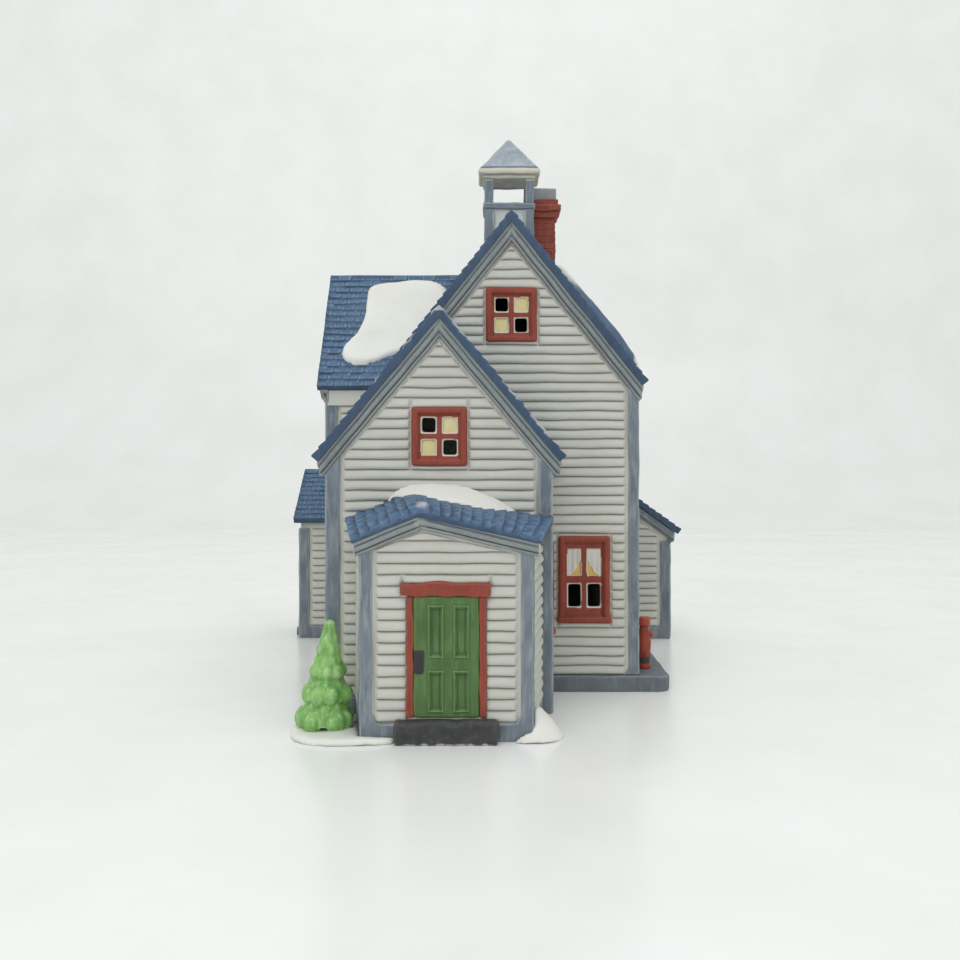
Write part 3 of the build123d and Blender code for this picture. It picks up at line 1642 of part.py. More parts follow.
collar_radius = socket_radius + clip_play
clip_reach = ((lamp_hole_radius - clip_clearance) ** 2 - (clip_width / 2) ** 2) ** 0.5
leaf_root = socket_inside - clip_collar
with BuildPart() as lamp_clip:
    with BuildSketch(lamp_back.offset(socket_inside - clip_collar)):
        Circle(collar_radius + clip_thickness)
        Circle(collar_radius, mode=Mode.SUBTRACT)
    extrude(amount=clip_collar)
    for way in (-1, 1):
        with BuildSketch(Plane(origin=(ridge_x, main_back, lamp_height - clip_width / 2), x_dir=(way, 0, 0))):
            with BuildLine():
                Polyline(
                    (collar_radius, -way * (leaf_root + clip_collar / 2)),
                    (collar_radius + clip_thickness, -way * (leaf_root + clip_collar / 2)),
                    (collar_radius + clip_thickness, -way * leaf_root),
                    (clip_reach, -way * wall),
                    (clip_reach, way * clip_finger),
                    (clip_reach - clip_thickness, way * clip_finger),
                    (clip_reach - clip_thickness, -way * wall),
                    (collar_radius, -way * leaf_root),
                    close=True,
                )
            make_face()
        extrude(amount=clip_width)
    with BuildSketch(lamp_back.offset(-socket_tail)):
        Circle(collar_radius)
    extrude(amount=socket_inside + socket_tail, mode=Mode.SUBTRACT)
save(lamp_clip.part, "lamp_clip")

with BuildPart() as lamp_contact:
    with BuildSketch(lamp_back.offset(socket_back_wall - socket_tail)):
        Circle(contact_radius)
    extrude(amount=contact_thickness)
save(lamp_contact.part, "lamp_contact")

bulb_foot = main_back - socket_inside + bulb_base_length - bulb_base_gap
with BuildPart() as bulb_base:
    with BuildSketch(front(bulb_foot)):
        with Locations((ridge_x, lamp_height)):
            Circle(bulb_base_radius)
    extrude(amount=bulb_base_length)
    chamfer(bulb_base.faces().sort_by(Axis.Y)[-1].edges(), contact_thickness)
save(bulb_base.part, "bulb_base")

bulb_axis = Plane(
    origin=(ridge_x, bulb_foot - bulb_base_length, lamp_height), x_dir=(1, 0, 0), z_dir=(0, 0, -1)
)
bulb_nose = bulb_length - bulb_nose_length
with BuildPart() as bulb_glass:
    with BuildSketch(bulb_axis):
        with BuildLine():
            Polyline(
                (0, bulb_length),
                (0, 0),
                (bulb_neck_radius, 0),
                (bulb_radius, bulb_widest_share * bulb_length),
                (bulb_nose_radius, bulb_nose),
                (bulb_tip_radius, bulb_length),
                close=True,
            )
        make_face()
    revolve(axis=Axis(bulb_axis.origin, (0, 1, 0)))
    with BuildSketch(bulb_axis):
        with BuildLine():
            Polyline(
                (0, bulb_nose),
                (0, bulb_skin),
                (bulb_neck_radius - bulb_skin, bulb_skin),
                (bulb_radius - bulb_skin, bulb_widest_share * bulb_length),
                (bulb_nose_radius - bulb_skin, bulb_nose),
                close=True,
            )
        make_face()
    revolve(axis=Axis(bulb_axis.origin, (0, 1, 0)), mode=Mode.SUBTRACT)
save(bulb_glass.part, "bulb_glass")
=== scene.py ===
"""Looks of a ceramic christmas village house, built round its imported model."""

import logging
import random
from dataclasses import dataclass, field, replace
from enum import Enum
from math import copysign, cos, hypot, pi, radians, sin
from typing import Any, Callable, Iterable, Mapping, Optional, Sequence

import bmesh
import bpy
from mathutils import Matrix, Vector, noise
from mathutils.bvhtree import BVHTree


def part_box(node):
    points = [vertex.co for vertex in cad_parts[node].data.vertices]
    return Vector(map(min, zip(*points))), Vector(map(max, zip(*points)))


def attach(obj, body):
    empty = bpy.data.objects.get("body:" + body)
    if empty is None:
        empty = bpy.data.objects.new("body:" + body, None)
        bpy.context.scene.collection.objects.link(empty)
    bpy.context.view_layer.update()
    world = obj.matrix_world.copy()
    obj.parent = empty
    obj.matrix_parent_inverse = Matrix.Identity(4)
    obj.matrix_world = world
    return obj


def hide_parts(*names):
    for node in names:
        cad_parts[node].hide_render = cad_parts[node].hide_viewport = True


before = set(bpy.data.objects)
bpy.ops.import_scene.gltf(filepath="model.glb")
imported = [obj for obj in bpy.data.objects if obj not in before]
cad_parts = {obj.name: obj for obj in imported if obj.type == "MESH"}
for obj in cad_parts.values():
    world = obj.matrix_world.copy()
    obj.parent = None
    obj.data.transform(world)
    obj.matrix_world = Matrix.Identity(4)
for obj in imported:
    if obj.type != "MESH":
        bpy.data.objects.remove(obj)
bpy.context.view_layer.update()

MM = 0.001
WELD_MM = 0.004
CUT_M = 1e-7
ROUNDING = 1e-6
# Values stored at each point of a mesh: how convex it is there, and its share of a second coat of paint.
CURVE = "curve"
COAT = "coat"
# How strongly bends count: on a modelled mesh, and on a melted skin for each millimetre of its fineness.
BEND_GAIN = 1.3
SKIN_GAIN_MM = 0.9
# Edges that bend more than this stay sharp: on a modelled mesh, and on a melted skin.
SHARP_DEG = 50.0
SKIN_SHARP_DEG = 80.0
SKIN_SOFTENING = 0.5
# Without a seed, vector noise starts from the clock and each run would bend the lines another way.
NOISE_SEED = 5
log = logging.getLogger("village_house")

Pair = tuple[float, float]
Point = tuple[float, float, float]
BMesh = bmesh.types.BMesh
BMVert = bmesh.types.BMVert
Socket = bpy.types.NodeSocket
Coat = Callable[[Vector], float]
Move = Callable[[Vector], Vector]


class Way(Enum):
    """Row axes in plan, as indices into a point."""

    X = 0
    Y = 1


def eased(value: float) -> float:
    """Smooth step from 0 to 1."""
    held = min(1.0, max(0.0, value))
    return held * held * (3 - 2 * held)


def linear(colour: str) -> tuple[float, float, float, float]:
    """Turns an sRGB hex colour into linear values.

    Args:
        colour: Six hex digits after a hash.

    Returns:
        Linear red, green and blue, and full alpha.
    """
    parts = [int(colour[i:i + 2], 16) / 255 for i in (1, 3, 5)]
    red, green, blue = (c / 12.92 if c <= 0.04045 else ((c + 0.055) / 1.055) ** 2.4 for c in parts)
    return red, green, blue, 1.0


def add(tree: bpy.types.NodeTree, kind: str, inputs: Mapping[Any, Any], **settings: Any) -> bpy.types.Node:
    """Adds one node with its settings and links.

    Args:
        tree: Node tree that gets the node.
        kind: Blender's name for the node.
        inputs: Socket name or index to a value, or to the socket that feeds it.
        settings: Properties of the node.

    Returns:
        The new node.
    """
    node = tree.nodes.new(kind)
    for key, value in settings.items():
        setattr(node, key, value)
    for key, value in inputs.items():
        if isinstance(value, Socket):
            tree.links.new(value, node.inputs[key])
        else:
            node.inputs[key].default_value = value
    return node


class Painted:
    """Coordinates of a painted surface in millimetres, and the patterns and coats that are laid on them."""

    cloud_roughness = 0.55

    def __init__(self, name: str) -> None:
        """Starts an empty material.

        Args:
            name: Name of the material.
        """
        self.material = bpy.data.materials.new(name)
        self.material.use_nodes = True
        self.tree = self.material.node_tree
        self.tree.nodes.clear()
        place = add(self.tree, "ShaderNodeTexCoord", {})
        scaled = add(
            self.tree,
            "ShaderNodeVectorMath",
            {0: place.outputs["Object"], "Scale": 1 / MM},
            operation="SCALE",
        )
        self.place = scaled.outputs["Vector"]
        self.curve = add(self.tree, "ShaderNodeAttribute", {}, attribute_name=CURVE).outputs["Fac"]

    def blotches(self, size_mm: float, detail: float = 3.0, stretch: Point = (1.0, 1.0, 1.0),
                 shift: float = 0.0) -> Socket:
        """Soft cloudy pattern.

        Args:
            size_mm: Size of one cloud.
            detail: Octaves of finer clouds.
            stretch: How much longer a cloud is along X, Y and Z.
            shift: Moves the pattern, so that two of them differ.

        Returns:
            Socket with values round a half.
        """
        mapped = add(
            self.tree,
            "ShaderNodeMapping",
            {
                "Vector": self.place,
                "Location": (shift, shift, shift),
                "Scale": tuple(1 / (size_mm * s) for s in stretch),
            },
        )
        cloud = add(
            self.tree,
            "ShaderNodeTexNoise",
            {
                "Vector": mapped.outputs["Vector"],
                "Scale": 1.0,
                "Detail": detail,
                "Roughness": self.cloud_roughness,
            },
        )
        return cloud.outputs["Fac"]

    def lay(self, under: Any, over: Any, pattern: Socket, span: Pair, most: Any = 1.0) -> Socket:
        """Lays one colour over another where a pattern is strong.

        Args:
            under: Colour below, or its socket.
            over: Colour above, or its socket.
            pattern: Socket that says where.
            span: Values of the pattern between which the upper colour sets in.
            most: Its largest share, or that share's socket.

        Returns:
            The new colour's socket.
        """
        share = add(
            self.tree,
            "ShaderNodeMapRange",
            {"Value": pattern, "From Min": span[0], "From Max": span[1], "To Max": most},
            interpolation_type="SMOOTHSTEP",
        )
        inputs = {0: share.outputs["Result"], 6: under, 7: over}
        return add(self.tree, "ShaderNodeMix", inputs, data_type="RGBA").outputs[2]

    def close(self, colour: Socket, pattern: Socket, span: Pair, rough: Pair,
              inputs: Mapping[str, Any]) -> bpy.types.Material:
        """Ends the material with its shader, whose gloss drifts with a pattern.

        Args:
            colour: Colour of the surface.
            pattern: Socket that the gloss follows.
            span: Values of the pattern between which it changes.
            rough: Roughness at both ends.
            inputs: Other sockets of the principled shader.

        Returns:
            The finished material.
        """
        drift = add(
            self.tree,
            "ShaderNodeMapRange",
            {
                "Value": pattern,
                "From Min": span[0],
                "From Max": span[1],
                "To Min": rough[0],
                "To Max": rough[1],
            },
            interpolation_type="SMOOTHSTEP",
        )
        base = {"Base Color": colour, "Roughness": drift.outputs["Result"]}
        shader = add(self.tree, "ShaderNodeBsdfPrincipled", {**base, **inputs})
        add(self.tree, "ShaderNodeOutputMaterial", {"Surface": shader.outputs["BSDF"]})
        return self.material


@dataclass(frozen=True)
class Finish:
    """A finish for one slot of the record."""

    name: str
    slot: str

    def material(self) -> bpy.types.Material:
        """Returns the material, made once."""
        found = bpy.data.materials.get(self.name)
        return found or self._made()

    def _made(self) -> bpy.types.Material:
        """Builds the material."""
        raise NotImplementedError


@dataclass(frozen=True)
class Band:
    """Second colour under a height, with a brushed edge."""

    colour: str
    top_mm: float
    soft_mm: float = 0.4
    ragged_mm: float = 0.8


@dataclass(frozen=True)
class Bisque(Finish):
    """Matt stain brushed on unglazed porcelain, thin on arrises; its darker colour is also laid into recesses
    as painted shade.

    Ranges are the pattern or curve values between which an effect sets in.
    """

    colour: str
    darker_and_shade: str
    rubbed: str
    uneven: float = 0.35
    patch_mm: float = 9.0
    stroke_mm: float = 1.4
    stroke: Point = (1.0, 1.0, 5.0)
    hollow_shade: float = 0.7
    rub: float = 0.45
    roughness: float = 0.6
    grain_mm: float = 0.5
    grain_depth_mm: float = 0.03
    bands: tuple[Band, ...] = ()
    coat: Optional[str] = None
    coat_from: float = 0.0
    wash_range: Pair = (0.3, 0.72)
    mark_range: Pair = (0.45, 0.75)
    mark_share: float = 0.7
    mark_shift: float = 31.0
    hollow_shade_range: Pair = (-0.05, -0.55)
    arris_range: Pair = (0.12, 0.5)
    worn_range: Pair = (0.35, 0.6)
    least_worn: float = 0.25
    band_range: Pair = (0.2, 0.8)
    gloss_range: Pair = (0.3, 0.7)
    gloss_drift: float = 0.07
    fine_detail: float = 2.0
    grain_shift: float = 7.0
    relief: float = 0.5
    ior: float = 1.5

    def _made(self) -> bpy.types.Material:
        """Builds the material: uneven wash, brush marks, painted shade in recesses, rubbed arrises and fine
        tooth.
        """
        paint = Painted(self.name)
        tree = paint.tree
        main, darker_and_shade, rubbed = (linear(colour) for colour in (self.colour, self.darker_and_shade, self.rubbed))
        patches = paint.blotches(self.patch_mm)
        strokes = paint.blotches(self.stroke_mm, self.fine_detail, self.stroke, self.mark_shift)
        colour = paint.lay(main, darker_and_shade, patches, self.wash_range, self.uneven)
        colour = paint.lay(colour, rubbed, strokes, self.mark_range, self.uneven * self.mark_share)
        # Painted shade: the darker colour is laid where the surface bends inward.
        colour = paint.lay(colour, darker_and_shade, paint.curve, self.hollow_shade_range, self.hollow_shade)
        worn = add(
            tree,
            "ShaderNodeMapRange",
            {
                "Value": patches,
                "From Min": self.worn_range[0],
                "From Max": self.worn_range[1],
                "To Min": self.least_worn * self.rub,
                "To Max": self.rub,
            },
            interpolation_type="SMOOTHSTEP",
        )
        colour = paint.lay(colour, rubbed, paint.curve, self.arris_range, worn.outputs["Result"])
        for band in self.bands:
            colour = self._banded(paint, colour, band, patches)
        if self.coat:
            coat = add(tree, "ShaderNodeAttribute", {}, attribute_name=COAT).outputs["Fac"]
            second = paint.lay(linear(self.coat), darker_and_shade, patches, self.wash_range, self.uneven)
            colour = paint.lay(colour, second, coat, (self.coat_from, 1.0))
        # The tooth of fired clay is finer than a pixel, so it is drawn at half a millimetre.
        grain = paint.blotches(self.grain_mm, self.fine_detail, shift=self.grain_shift)
        tooth = add(
            tree,
            "ShaderNodeBump",
            {"Height": grain, "Strength": self.relief, "Distance": self.grain_depth_mm * MM},
        )
        brushed = add(
            tree,
            "ShaderNodeBump",
            {
                "Height": strokes,
                "Strength": self.relief,
                "Distance": 2 * self.grain_depth_mm * MM,
                "Normal": tooth.outputs["Normal"],
            },
        )
        rough = (self.roughness - self.gloss_drift, self.roughness + self.gloss_drift)
        surface = {"IOR": self.ior, "Normal": brushed.outputs["Normal"]}
        return paint.close(colour, patches, self.gloss_range, rough, surface)

    def _banded(self, paint: Painted, colour: Socket, band: Band,
                patches: Socket) -> Socket:
        """Lays a band of another colour under a height, its edge moved about by the brush.

        Args:
            paint: The material in work.
            colour: Colour so far.
            band: The band.
            patches: Pattern that moves its edge.

        Returns:
            The colour with the band.
        """
        low, high = self.band_range
        ragged = {"To Min": -band.ragged_mm, "To Max": band.ragged_mm}
        wander = add(
            paint.tree,
            "ShaderNodeMapRange",
            {"Value": patches, "From Min": low, "From Max": high, **ragged},
            interpolation_type="SMOOTHSTEP",
        )
        height = add(paint.tree, "ShaderNodeSeparateXYZ", {"Vector": paint.place}).outputs["Z"]
        level = add(paint.tree, "ShaderNodeMath", {0: height, 1: wander.outputs["Result"]}, operation="ADD")
        span = (band.top_mm + band.soft_mm, band.top_mm - band.soft_mm)
        return paint.lay(colour, linear(band.colour), level.outputs[0], span)


@dataclass(frozen=True)
class Moulded(Finish):
    """Injection-moulded or stamped stock: one colour with handling marks in its gloss."""

    colour: str
    scuffed: str
    roughness: float
    metallic: float = 0.0
    brushed: Point = (1.0, 1.0, 1.0)
    mark_mm: float = 1.2
    transmission: float = 0.0
    detail: float = 4.0
    scuff_range: Pair = (0.42, 0.7)
    arris_range: Pair = (0.1, 0.6)
    arris_share: float = 0.35
    gloss_range: Pair = (0.3, 0.7)
    gloss_spread: Pair = (0.8, 1.25)
    relief: float = 0.25
    mark_depth_mm: float = 0.03

    def _made(self) -> bpy.types.Material:
        """Builds the material: slight colour drift, uneven gloss and fine marks."""
        paint = Painted(self.name)
        plain, scuffed = linear(self.colour), linear(self.scuffed)
        marks = paint.blotches(self.mark_mm, self.detail, self.brushed)
        colour = paint.lay(plain, scuffed, marks, self.scuff_range)
        colour = paint.lay(colour, scuffed, paint.curve, self.arris_range, self.arris_share)
        rough = (self.roughness * self.gloss_spread[0], self.roughness * self.gloss_spread[1])
        grooves = {"Height": marks, "Strength": self.relief, "Distance": self.mark_depth_mm * MM}
        bump = add(paint.tree, "ShaderNodeBump", grooves)
        surface = {
            "Normal": bump.outputs["Normal"],
            "Metallic": self.metallic,
            "Transmission Weight": self.transmission,
        }
        return paint.close(colour, marks, self.gloss_range, rough, surface)


# Unglazed white porcelain: chalky and faintly warm, with beige-grey painted shade in the grooves between the
# boards.
SIDING = Bisque(
    "bisque_siding", "bisque_white", "#c7c8c0", "#989389", "#d2d3cb", uneven=0.16, hollow_shade=0.85, rub=0.3,
    stroke=(4.0, 4.0, 1.0), patch_mm=16.0,
)
# Thinned blue-grey stain, one coat, streaky along the brush.
TRIM = Bisque("trim_stain", "trim_grey", "#757f88", "#525d68", "#a6adb1", uneven=0.6, rub=0.8)
# The same stain with more grey, on the boards that follow the slopes.
RAKE = Bisque(
    "rake_stain", "trim_grey", "#7f8686", "#46525f", "#a9aeac", uneven=0.32, rub=0.6, hollow_shade=0.95,
    coat="#c6c7c0", stroke=(1.0, 1.0, 1.0),
)
# A darker, greyer coat on the base, dusty along its rubbed edges.
PLINTH = Bisque("plinth_stain", "plinth_grey", "#666e75", "#4f575f", "#8b9298", uneven=0.5, rub=0.5)
# Denim blue stain with a low sheen, rubbed lighter on the butts of the shingles.
ROOF = Bisque(
    "roof_stain", "roof_blue", "#41658a", "#283c53", "#7a94ab", uneven=0.45, rub=0.55, hollow_shade=0.75,
    patch_mm=7.0, roughness=0.5,
)
# The same stain where the brush missed an edge and left it pale.
ROOF_WORN = replace(ROOF, name="roof_stain_worn", coat="#c6cbcd", coat_from=0.66)
# Thin blue-grey wash that ran down the slopes and gathered at the edge, over a bare soffit.
CUPOLA_ROOF = Bisque(
    "cupola_roof_stain", "roof_blue", "#9aa4aa", "#73808e", "#bcc2c4", uneven=0.55, rub=0.5,
    stroke=(1.0, 1.0, 6.0), bands=(Band("#4f6076", 178.3, 0.35, 0.25), Band("#c3c0b2", 177.55, 0.25, 0.25)),
)
# Bare clay with cold grey painted shade in its corners, and stained corner posts.
CUPOLA_BASE = Bisque(
    "cupola_base_clay", "bisque_white", "#c3c5c1", "#8f979c", "#d3d4cf", uneven=0.35, coat="#697683",
)
# Streaky blue-grey on the posts and rails, left bare on the beam over them.
CUPOLA_POSTS = Bisque(
    "cupola_post_stain", "trim_grey", "#6d7a87", "#4c5864", "#97a0a6", uneven=0.5, rub=0.6, coat="#c3c0b2",
)
# Iron-red stain, nearly opaque.
RED = Bisque("red_stain", "window_red", "#8c3a27", "#5f2419", "#a8563f", uneven=0.32, rub=0.45)
# A warmer red, worn pale on each brick.
BRICK = Bisque(
    "brick_stain", "brick_red", "#93402c", "#64291f", "#b0614a", uneven=0.4, rub=0.45, patch_mm=3.0
)
# Leaf green stain over white clay, so that the mouldings show through lighter.
DOOR = Bisque("door_stain", "door_green", "#4e713c", "#314c29", "#7b9b5a", uneven=0.4, rub=0.55, hollow_shade=0.8)
# Yellow-green wash so thin that the tips of the boughs are nearly white.
PINE = Bisque(
    "pine_stain", "pine_green", "#8cc06b", "#559040", "#c9dfb0", uneven=0.75, rub=0.75, hollow_shade=0.85,
    patch_mm=4.5,
)
# Soot-grey stone of the steps, with bare clay showing at the table.
CHARCOAL = Bisque(
    "charcoal_stain", "charcoal", "#383939", "#252626", "#5c5d5b", uneven=0.45, rub=0.5, patch_mm=3.0,
    stroke=(1.0, 1.0, 1.0), bands=(Band("#c9c8bf", 0.2, 0.3, 0.5),),
)
# Plain mid grey of the chimney's cap.
CAP = Bisque("cap_stain", "cap_grey", "#8f9494", "#6c7274", "#b2b5b3", uneven=0.45)
# Clay without any stain, cream beside the red of the frames.
CREAM = Bisque("bare_bisque", "bisque_white", "#d2cfc2", "#a9a493", "#dfddd3", uneven=0.3)
# Thick white slip poured on, smoother than the walls.
SNOW = Bisque(
    "snow_slip", "snow_white", "#e4e4dd", "#c9c8bf", "#ecece7", uneven=0.2, patch_mm=12.0, rub=0.2, hollow_shade=0.4,
    roughness=0.48,
)
# The same slip where roof blue was brushed over its front end.
SNOW_EDGED = replace(SNOW, name="snow_slip_edged", coat="#3d5874")
# Pale yellow wash of a lit window, uneven as lamplight.
AMBER = Bisque(
    "amber_wash", "pane_amber", "#d9cc8e", "#b49a52", "#e8e2bd", uneven=0.55, patch_mm=4.0, rub=0.4
)
# White cloth, with grey painted shade in its folds.
CURTAIN = Bisque("curtain_wash", "curtain_white", "#d6d5cc", "#a8a69b", "#e2e1da", uneven=0.25, patch_mm=4.0)
# The deeper yellow that shows between the curtains.
GLOW = Bisque("glow_wash", "pane_amber", "#dfb04f", "#c08a34", "#ecd08c", uneven=0.4, patch_mm=3.0)
# Bright red, with a dark ring round the pump.
PUMP = Bisque(
    "pump_stain", "brick_red", "#a03e2c", "#6a2a20", "#bf6a50", uneven=0.4,
    bands=(Band("#43403d", 9.4, 0.3, 0.3), Band("#a03e2c", 7.4, 0.3, 0.3)),
)
# Black iron of the door latch.
IRON = Bisque("iron_stain", "charcoal", "#2c2c2d", "#1e1e1f", "#4c4c4c", uneven=0.4)
# Off-white socket with a soft gloss.
SOCKET = Moulded("socket_nylon", "lamp_plastic", "#e6e3da", "#cfcabd", 0.42)
# Spring strip, drawn along its length.
SPRING = Moulded("spring_steel", "spring_steel", "#b9babb", "#8d8e90", 0.3, 1.0, (1.0, 8.0, 1.0))
# Brass with the rings of the lathe.
BRASS = Moulded("turned_brass", "brass", "#c9a35c", "#a67f3c", 0.28, 1.0, (6.0, 1.0, 6.0))
# Clear thin glass.
GLASS = Moulded("bulb_glass_blown", "bulb_glass", "#f4f4f1", "#ffffff", 0.06, transmission=0.9)


def put(name: str, mesh: bpy.types.Mesh, finishes: Sequence[Finish], body: str,
        nodes: Sequence[str]) -> None:
    """Makes an object that stands for CAD nodes.

    Args:
        name: Name of the piece.
        mesh: Its mesh, in the row frame.
        finishes: One finish per material index.
        body: Body that it rides on.
        nodes: CAD nodes that it replaces.
    """
    piece = bpy.data.objects.new(name, mesh)
    bpy.context.scene.collection.objects.link(piece)
    for finish in finishes:
        mesh.materials.append(finish.material())
    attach(piece, body)
    if nodes:
        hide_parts(*nodes)
    log.info("%s: %d faces for %s", name, len(mesh.polygons), ", ".join(nodes) or "a detail")


def felt(bm: BMesh, gain: float = BEND_GAIN) -> None:
    """Stores at each point how convex the surface is there.

    Args:
        bm: The bmesh.
        gain: How strongly bends count.
    """
    bm.normal_update()
    layer = bm.verts.layers.float.new(CURVE)
    for vert in bm.verts:
        bends = [edge.calc_face_angle_signed(0.0) for edge in vert.link_edges if edge.is_manifold]
        vert[layer] = max(-1.0, min(1.0, sum(bends) / len(bends) * gain)) if bends else 0.0


def mesh_of(bm: BMesh, name: str, sharp_deg: float = SHARP_DEG,
            coat: Optional[Coat] = None, gain: float = BEND_GAIN) -> bpy.types.Mesh:
    """Turns a bmesh into a smooth mesh that knows where it is convex.

    Args:
        bm: The bmesh, which is freed.
        name: Name of the mesh.
        sharp_deg: Edges that bend more than this stay sharp.
        coat: Share of a second coat of paint at a point in millimetres.
        gain: How strongly bends count, more on a finer mesh.

    Returns:
        The mesh.
    """
    if not bm.verts.layers.float.get(CURVE):
        felt(bm, gain)
    if coat:
        layer = bm.verts.layers.float.new(COAT)
        for vert in bm.verts:
            vert[layer] = coat(vert.co / MM)
    for face in bm.faces:
        face.smooth = True
    for edge in bm.edges:
        edge.smooth = edge.calc_face_angle(0.0) < radians(sharp_deg)
    mesh = bpy.data.meshes.new(name)
    bm.to_mesh(mesh)
    bm.free()
    return mesh


@dataclass(frozen=True)
class Working:
    """How much a casting's edges are rounded and its lines wander.

    The wander has a slow wave and a quick one. Rounding is tried at falling shares of its size, until no
    point strays from the design by more than a share of it.
    """

    wander_mm: float = 0.0
    arris_deg: float = 35.0
    round_mm: float = 0.3
    segments: int = 2
    wave_mm: float = 16.0
    quick: float = 2.7
    quick_share: float = 0.4
    quick_shift: Point = (9.0, 4.0, 2.0)
    tries: tuple[float, ...] = (1.0, 0.7, 0.45, 0.25)
    stray: float = 0.6
    flat_deg: float = 1.0


# Thin painted panes, shingles laid by hand, and turned or stamped pieces.
CRISP = Working(wander_mm=0.06)
HAND_LAID = Working(wander_mm=0.16)
TURNED = Working(arris_deg=45.0)


def wandering(point: Vector, working: Working) -> Vector:
    """Moves a point of the design as hand work does, by a smooth field that neighbouring pieces share.

    Args:
        point: The point in metres.
        working: How far lines wander.

    Returns:
        Its place.
    """
    spot = point / (working.wave_mm * MM)
    slow = noise.noise_vector(spot)
    quick = noise.noise_vector(spot * working.quick + Vector(working.quick_shift))
    return point + (slow + quick * working.quick_share) * working.wander_mm * MM


def welded(node: str) -> BMesh:
    """Copies a CAD node and joins its doubled points.

    Args:
        node: Name of the CAD node.

    Returns:
        The copy.
    """
    bm = bmesh.new()
    bm.from_mesh(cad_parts[node].data)
    bmesh.ops.remove_doubles(bm, verts=bm.verts, dist=WELD_MM * MM)
    return bm


def rounded(bm: BMesh, working: Working) -> BMesh:
    """Rounds the arrises of a casting, less and less until nothing leaves the design's surface.

    Args:
        bm: The bmesh, which is freed.
        working: How soft it gets.

    Returns:
        The rounded bmesh.
    """
    bm.normal_update()
    surface = BVHTree.FromBMesh(bm)
    limit = radians(working.arris_deg)
    for share in working.tries:
        trial = bm.copy()
        arrises = [e for e in trial.edges if e.is_manifold and e.calc_face_angle_signed(0.0) > limit]
        offset = working.round_mm * share * MM
        bmesh.ops.bevel(
            trial, geom=arrises, offset=offset, offset_type="OFFSET", segments=working.segments, profile=0.5,
            affect="EDGES", clamp_overlap=False,
        )
        if all(surface.find_nearest(v.co)[3] < working.stray * offset for v in trial.verts):
            bm.free()
            return trial
        trial.free()
    return bm


def casting(node: str, working: Working) -> BMesh:
    """Copies a CAD node and softens it: arrises rounded, lines let wander.

    Args:
        node: Name of the CAD node.
        working: How soft it gets.

    Returns:
        The softened bmesh.
    """
    bm = welded(node)
    bmesh.ops.dissolve_limit(bm, angle_limit=radians(working.flat_deg), verts=bm.verts, edges=bm.edges)
    bm = rounded(bm, working)
    if working.wander_mm:
        for vert in bm.verts:
            vert.co = wandering(vert.co, working)
    bmesh.ops.recalc_face_normals(bm, faces=bm.faces)
    return bm


def melted(mesh: bpy.types.Mesh, voxel_mm: float, rounds: int) -> BMesh:
    """Melts a mesh of any number of overlapping shells into one soft skin.

    Args:
        mesh: The mesh, which is used up.
        voxel_mm: Fineness of the skin.
        rounds: How often it is smoothed.

    Returns:
        The skin.
    """
    model = bpy.data.objects.new("model", mesh)
    bpy.context.scene.collection.objects.link(model)
    skin = model.modifiers.new("skin", "REMESH")
    skin.mode = "VOXEL"
    skin.voxel_size = voxel_mm * MM
    soft = model.modifiers.new("soft", "SMOOTH")
    soft.factor = SKIN_SOFTENING
    soft.iterations = rounds
    bpy.context.view_layer.update()
    result = bpy.data.meshes.new_from_object(model.evaluated_get(bpy.context.evaluated_depsgraph_get()))
    bpy.data.objects.remove(model)
    bpy.data.meshes.remove(mesh)
    bm = bmesh.new()
    bm.from_mesh(result)
    bpy.data.meshes.remove(result)
    return bm


def grown(node: str, voxel_mm: float, rounds: int, swell: Optional[Move] = None,
          coat: Optional[Coat] = None) -> bpy.types.Mesh:
    """Melts a CAD node into one soft skin.

    Args:
        node: Name of the CAD node.
        voxel_mm: Fineness of the skin.
        rounds: How often it is smoothed.
        swell: Where each point of the smoothed skin ends up.
        coat: Share of a second coat of paint at a point in millimetres.

    Returns:
        The mesh.
    """
    bm = melted(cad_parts[node].data.copy(), voxel_mm, rounds)
    if swell:
        for vert in bm.verts:
            vert.co = swell(vert.co)
    return mesh_of(bm, node + "_skin", SKIN_SHARP_DEG, coat, SKIN_GAIN_MM / voxel_mm)


@dataclass
class Castings:
    """Nodes whose CAD shape is right and only gets soft edges, hand-worked lines and a finish."""

    plan: Mapping[str, tuple[Finish, Working]]
    body: str = "house"

    def build(self) -> None:
        """Makes every piece."""
        for node, (finish, working) in self.plan.items():
            put(node + "_cast", mesh_of(casting(node, working), node), [finish], self.body, [node])


